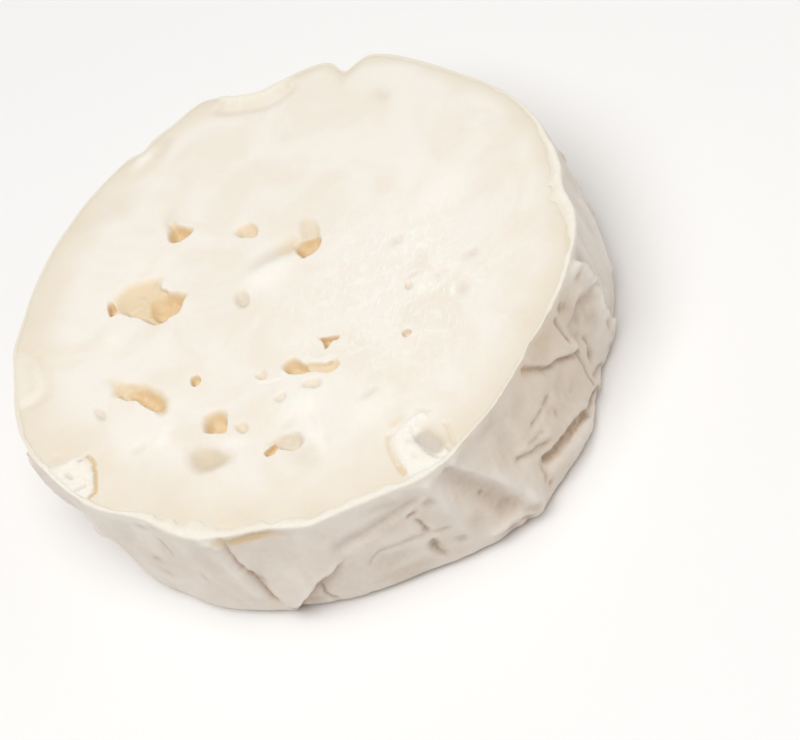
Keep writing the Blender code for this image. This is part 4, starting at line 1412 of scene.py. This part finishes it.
def back_folds() -> tuple[Fold, ...]:
    """Slanted creases and ridges for the back of the wall, as uneven as those in front."""
    draw = random.Random(BACK_SEED)
    low, high = BACK_FOLD_ANGLES
    folds = []
    for number in range(BACK_FOLD_COUNT):
        angle = low + (number + draw.uniform(-0.3, 1.3)) * (high - low) / BACK_FOLD_COUNT
        height = draw.uniform(11.0, 25.0)
        drop = draw.uniform(5.0, 19.0)
        lean = draw.uniform(-13.0, 13.0)
        bend = (angle + lean * draw.uniform(-0.1, 0.9), height - drop * draw.uniform(0.3, 0.7))
        path = ((angle, height), bend, (angle + lean, max(2.0, height - drop)))
        kind = draw.choice((CREASE, LAP, RIDGE, VALLEY, LAP))
        spread = draw.uniform(1.8, 6.2)
        size = spread * draw.uniform(0.14, 0.24)
        folds.append(Fold(kind, spread, size, path, draw.uniform(0.1, 0.6)))
    return tuple(folds)


@dataclass
class Rind:
    """The rind: a cup of skin with a wrinkled wall, a lip round the face and a flat base.

    Its mesh is a grid of rows, from the middle of the base up the wall and over the lip to the
    middle of the inside, by columns, which run round it.
    """

    columns: int = 1000
    wall_rows: int = 68
    foot_rows: int = 7
    lip_rows: int = 4
    base_rings: tuple[float, ...] = (6.0, 22.0, 36.0, 43.0, 47.0)
    inner_rings: tuple[float, ...] = (46.0, 22.0, 6.0)
    front_crowding: float = 0.34
    front_angle: float = 270.0
    lip_rounding: float = 0.5
    overlap: float = 0.12
    inner_bloom: float = 0.45
    bloom_band: float = 0.75
    foot_fade: float = 1.0
    top_fade: float = 0.55
    name: str = "rind"

    def sleeve(self, rows: int) -> bmesh.types.BMesh:
        """A plain sleeve with a ring for each row, spun round the axis."""
        mesh = bmesh.new()
        chain = [mesh.verts.new((1.0, 0.0, float(row))) for row in range(rows)]
        edges = [mesh.edges.new(pair) for pair in zip(chain, chain[1:])]
        bmesh.ops.spin(
            mesh,
            geom=chain + edges,
            cent=(0.0, 0.0, 0.0),
            axis=(0.0, 0.0, 1.0),
            angle=2.0 * math.pi,
            steps=self.columns,
            use_merge=True,
        )
        return mesh

    def column_angles(self) -> np.ndarray:
        """The angle of each column, closer together in front."""
        turned = np.arange(self.columns) * 2.0 * math.pi / self.columns
        turned = turned - self.front_crowding * np.sin(turned - math.radians(self.front_angle))
        return np.degrees(turned) % 360.0

    def along_gap(self, angles: np.ndarray, heights: np.ndarray, top: np.ndarray) -> np.ndarray:
        """Bends the wall's rows so that one of them runs along the open gap.

        Args:
            angles: the angle of each column.
            heights: the height of each row in each column.
            top: the height of the wall's top in each column.

        Returns:
            The bent heights.
        """
        level = around(angles, GAP_ROW)
        under = (level - FOOT_ROUNDING) / (GAP_LEVEL - FOOT_ROUNDING)
        over = (top - level) / (top - GAP_LEVEL)
        low = FOOT_ROUNDING + (heights - FOOT_ROUNDING) * under
        return np.where(heights < GAP_LEVEL, low, top - (top - heights) * over)

    def folded(self, angles: np.ndarray, heights: np.ndarray) -> Wall:
        """The wall with all its folds, pits and wrinkles."""
        wall = Wall.plain(np.tile(angles, self.wall_rows), heights.ravel())
        for detail in FRONT_FOLDS + back_folds() + PITS:
            detail.press(wall)
        wall.crumple()
        self.tint(wall)
        return wall

    def tint(self, wall: Wall) -> None:
        """Marks the whiter band at the top of the wall."""
        ragged = layered(ring_points(wall.angles, wall.heights), LIP_FRAY)
        bloom = around(wall.angles, LIP_BLOOM)
        low = THICKNESS - self.bloom_band - around(wall.angles, LIP_FALLS)
        band = smooth_step(0.0, 0.8, wall.heights - low + ragged) * bloom
        whole = np.maximum(band, wall.marks[Mark.LIP]) * (1.0 - wall.marks[Mark.TAN])
        wall.marks[Mark.LIP] = whole
        wall.marks[Mark.BLOOM] = bloom

    def wall_radii(self, angles: np.ndarray, heights: np.ndarray, push: np.ndarray) -> np.ndarray:
        """The radii of the wall's points.

        Args:
            angles: the angle of each column.
            heights: the height of each point, rows by columns.
            push: how far the folds push each point outwards.

        Returns:
            The radii, rows by columns.
        """
        rim = rim_radius(angles)
        foot = FOOT_RADIUS + swell(angles, FOOT_SWELLS)
        near_top = smooth_step(THICKNESS - 1.6, THICKNESS + 0.2, heights)
        fade = smooth_step(0.0, FOOT_ROUNDING + self.foot_fade, heights)
        fade *= 1.0 - self.top_fade * near_top
        belly = BELLY * np.sin(math.pi * heights / THICKNESS)
        rise = smooth_step(0.0, THICKNESS, heights)
        return foot + (rim - foot) * rise + belly + push.reshape(heights.shape) * fade

    def shape(self) -> tuple[np.ndarray, np.ndarray, dict[Mark, np.ndarray]]:
        """Works out where each row lies in each column.

        Returns:
            The radii, the heights and the marks, each of them rows by columns.
        """
        angles = self.column_angles()
        crest = THICKNESS + lip_height(angles)
        width = lip_width(angles)
        bloom = around(angles, LIP_BLOOM)
        turn_in = np.minimum(self.lip_rounding, (0.25 + 0.2 * bloom) * width)
        top = crest - turn_in
        share = np.linspace(0.0, 1.0, self.wall_rows)[:, None]
        heights = self.along_gap(angles, FOOT_ROUNDING + share * (top - FOOT_ROUNDING), top)
        wall = self.folded(angles, heights)
        radii = self.wall_radii(angles, heights, wall.push)
        inner = rim_radius(angles) - width - self.overlap
        outer = radii[-1] - turn_in

        even = np.ones(self.columns)
        rows = [(ring * even, 0.0 * even) for ring in self.base_rings]
        for turn in np.arange(self.foot_rows) * 0.5 * math.pi / self.foot_rows:
            radius = radii[0] - FOOT_ROUNDING * (1.0 - math.sin(turn))
            rows.append((radius, FOOT_ROUNDING * (1.0 - math.cos(turn)) * even))
        first = len(rows)
        rows += zip(radii, heights)
        for turn in np.arange(1, self.lip_rows + 1) * 0.5 * math.pi / self.lip_rows:
            radius = radii[-1] - turn_in * (1.0 - math.cos(turn))
            rows.append((radius, top + turn_in * math.sin(turn)))
        for across, drop in LIP_TOP:
            rows.append((outer + (inner - outer) * across, crest - drop * (0.3 + 0.7 * bloom)))
        for height, inset in SIDE_PROFILE:
            rows.append((inner - inset, (height - self.overlap) * even))
        floor = rows[-1][1]
        rows += [(ring * even, floor) for ring in self.inner_rings]
        whole_radii, whole_heights = map(np.array, zip(*rows))
        return whole_radii, whole_heights, self.spread_marks(wall, angles, first, len(rows))

    def spread_marks(
        self, wall: Wall, angles: np.ndarray, first: int, rows: int
    ) -> dict[Mark, np.ndarray]:
        """Carries the wall's marks down to the foot and over the lip.

        Args:
            wall: the marked wall.
            angles: the angle of each column.
            first: the wall's first row.
            rows: how many rows the rind has.

        Returns:
            The marks of the whole rind, rows by columns.
        """
        last = first + self.wall_rows
        lip_top = last + self.lip_rows
        lip_end = lip_top + len(LIP_TOP)
        crusted = around(angles, LIP_CRUST)
        marks = {}
        for kind, values in wall.marks.items():
            whole = np.zeros((rows, self.columns))
            whole[first:last] = values.reshape(self.wall_rows, self.columns)
            whole[len(self.base_rings) : first] = whole[first]
            if kind is Mark.LIP:
                whole[last:] = whole[last - 1]
                whole[last + 1 : lip_end + 1] = 1.0
            elif kind is Mark.BLOOM:
                whole[last:] = np.maximum(whole[last - 1], crusted)
                whole[lip_top + 1 :] *= self.inner_bloom + (1.0 - self.inner_bloom) * crusted
            elif kind is Mark.TAN:
                whole[last : lip_top - 1] = whole[last - 1]
            marks[kind] = whole
        return marks

    def build(self, material: bpy.types.Material) -> bpy.types.Object:
        """Models the rind and dresses it."""
        radii, heights, marks = self.shape()
        mesh = self.sleeve(len(radii))
        angles = np.radians(self.column_angles())
        inner_edge = len(radii) - len(SIDE_PROFILE) - len(self.inner_rings) - 1
        rows, columns = [], []
        for vertex in mesh.verts:
            turned = math.atan2(vertex.co.y, vertex.co.x) / (2.0 * math.pi)
            row = round(vertex.co.z)
            column = round(turned * self.columns) % self.columns
            radius, angle = radii[row, column], angles[column]
            place = (radius * math.cos(angle), radius * math.sin(angle), heights[row, column])
            vertex.co = in_place(np.array(place))
            vertex.tag = row == inner_edge
            rows.append(row)
            columns.append(column)
        for edge in mesh.edges:
            edge.smooth = not all(corner.tag for corner in edge.verts)
        close(mesh)
        piece = finish_piece(self.name, mesh, material)
        store_marks(piece.data, {kind: values[rows, columns] for kind, values in marks.items()})
        return piece


@dataclass(frozen=True)
class Lamp:
    """A soft square lamp, its place and side in metres and its power in watts."""

    name: str
    place: tuple[float, float, float]
    size: float
    power: float
    colour: tuple[float, float, float]

    def hang(self) -> None:
        """Hangs the lamp so that it faces the middle of the floor."""
        light = bpy.data.lights.new(self.name, "AREA")
        light.shape = "SQUARE"
        light.size = self.size
        light.energy = self.power
        light.color = self.colour
        lamp = new_object(self.name, light)
        lamp.location = self.place
        lamp.rotation_mode = "QUATERNION"
        lamp.rotation_quaternion = (-Vector(self.place)).to_track_quat("-Z", "Y")


@dataclass
class Studio:
    """The pale floor, the soft lights and the camera."""

    target: tuple[float, float, float] = (0.01015, -0.0094, 0.0)
    distance: float = 0.6
    elevation: float = 47.0
    roll: float = -30.5
    lens: float = 144.4
    sensor: float = 36.0
    floor_size: float = 3.0
    floor_roughness: float = 0.7
    floor_tones: tuple[Colour, Colour] = ((0.93, 0.93, 0.93, 1.0), (0.945, 0.945, 0.945, 1.0))
    lamps: tuple[Lamp, ...] = (
        Lamp("key", (-0.14, -0.12, 0.78), 0.8, 5.5, (1.0, 0.985, 0.965)),
        Lamp("fill", (0.55, -0.22, 0.30), 0.5, 0.42, (1.0, 0.95, 0.90)),
    )
    sky: float = 0.37
    sky_colour: Colour = (1.0, 0.99, 0.98, 1.0)

    def floor(self) -> bpy.types.Object:
        """A wide pale floor."""
        mesh = bmesh.new()
        bmesh.ops.create_grid(mesh, x_segments=2, y_segments=2, size=self.floor_size / 2.0)
        data = bpy.data.meshes.new("floor")
        mesh.to_mesh(data)
        mesh.free()
        floor = new_object("floor", data)
        material = bpy.data.materials.new("pale_floor")
        material.use_nodes = True
        sheet = Sheet(material.node_tree)
        clouds = sheet.noisy(sheet.coordinates(), Scale=6.0)
        colour = sheet.mixed(clouds, *self.floor_tones)
        shader = material.node_tree.nodes["Principled BSDF"]
        sheet.fill(shader, Base_Color=colour, Roughness=self.floor_roughness)
        data.materials.append(material)
        return floor

    def lights(self) -> None:
        """A large soft key above, a weak fill on the right and an even sky."""
        for lamp in self.lamps:
            lamp.hang()
        world = bpy.data.worlds.new("sky")
        world.use_nodes = True
        background = world.node_tree.nodes["Background"]
        Sheet(world.node_tree).fill(background, Color=self.sky_colour, Strength=self.sky)
        bpy.context.scene.world = world
        bpy.context.scene.view_settings.view_transform = "Standard"

    def camera(self) -> None:
        """The camera at the photograph's angle, tilted as the photograph is."""
        rise, roll = math.radians(self.elevation), math.radians(self.roll)
        back = Vector((0.0, -math.cos(rise), math.sin(rise)))
        level = Vector((1.0, 0.0, 0.0))
        up = back.cross(level)
        right = math.cos(roll) * level + math.sin(roll) * up
        head = -math.sin(roll) * level + math.cos(roll) * up
        place = Vector(self.target) + self.distance * back
        turn = Matrix((right, head, back)).transposed().to_4x4()
        lens = bpy.data.cameras.new("camera")
        lens.lens = self.lens
        lens.sensor_width = self.sensor
        camera = new_object("camera", lens)
        camera.matrix_world = Matrix.Translation(place) @ turn
        bpy.context.scene.camera = camera


def main() -> None:
    """Builds the paste, the rind and the studio, and notes the sizes."""
    logging.basicConfig(level=logging.INFO, format="%(message)s")
    mottle = mottle_group()
    pieces = (
        Paste().build(paste_material(mottle)),
        Rind().build(rind_material(mottle)),
    )
    for piece in pieces:
        piece.data.calc_loop_triangles()
        LOG.info("%s: %d triangles", piece.name, len(piece.data.loop_triangles))
    studio = Studio()
    studio.floor()
    studio.lights()
    studio.camera()


if __name__ == "__main__":
    main()
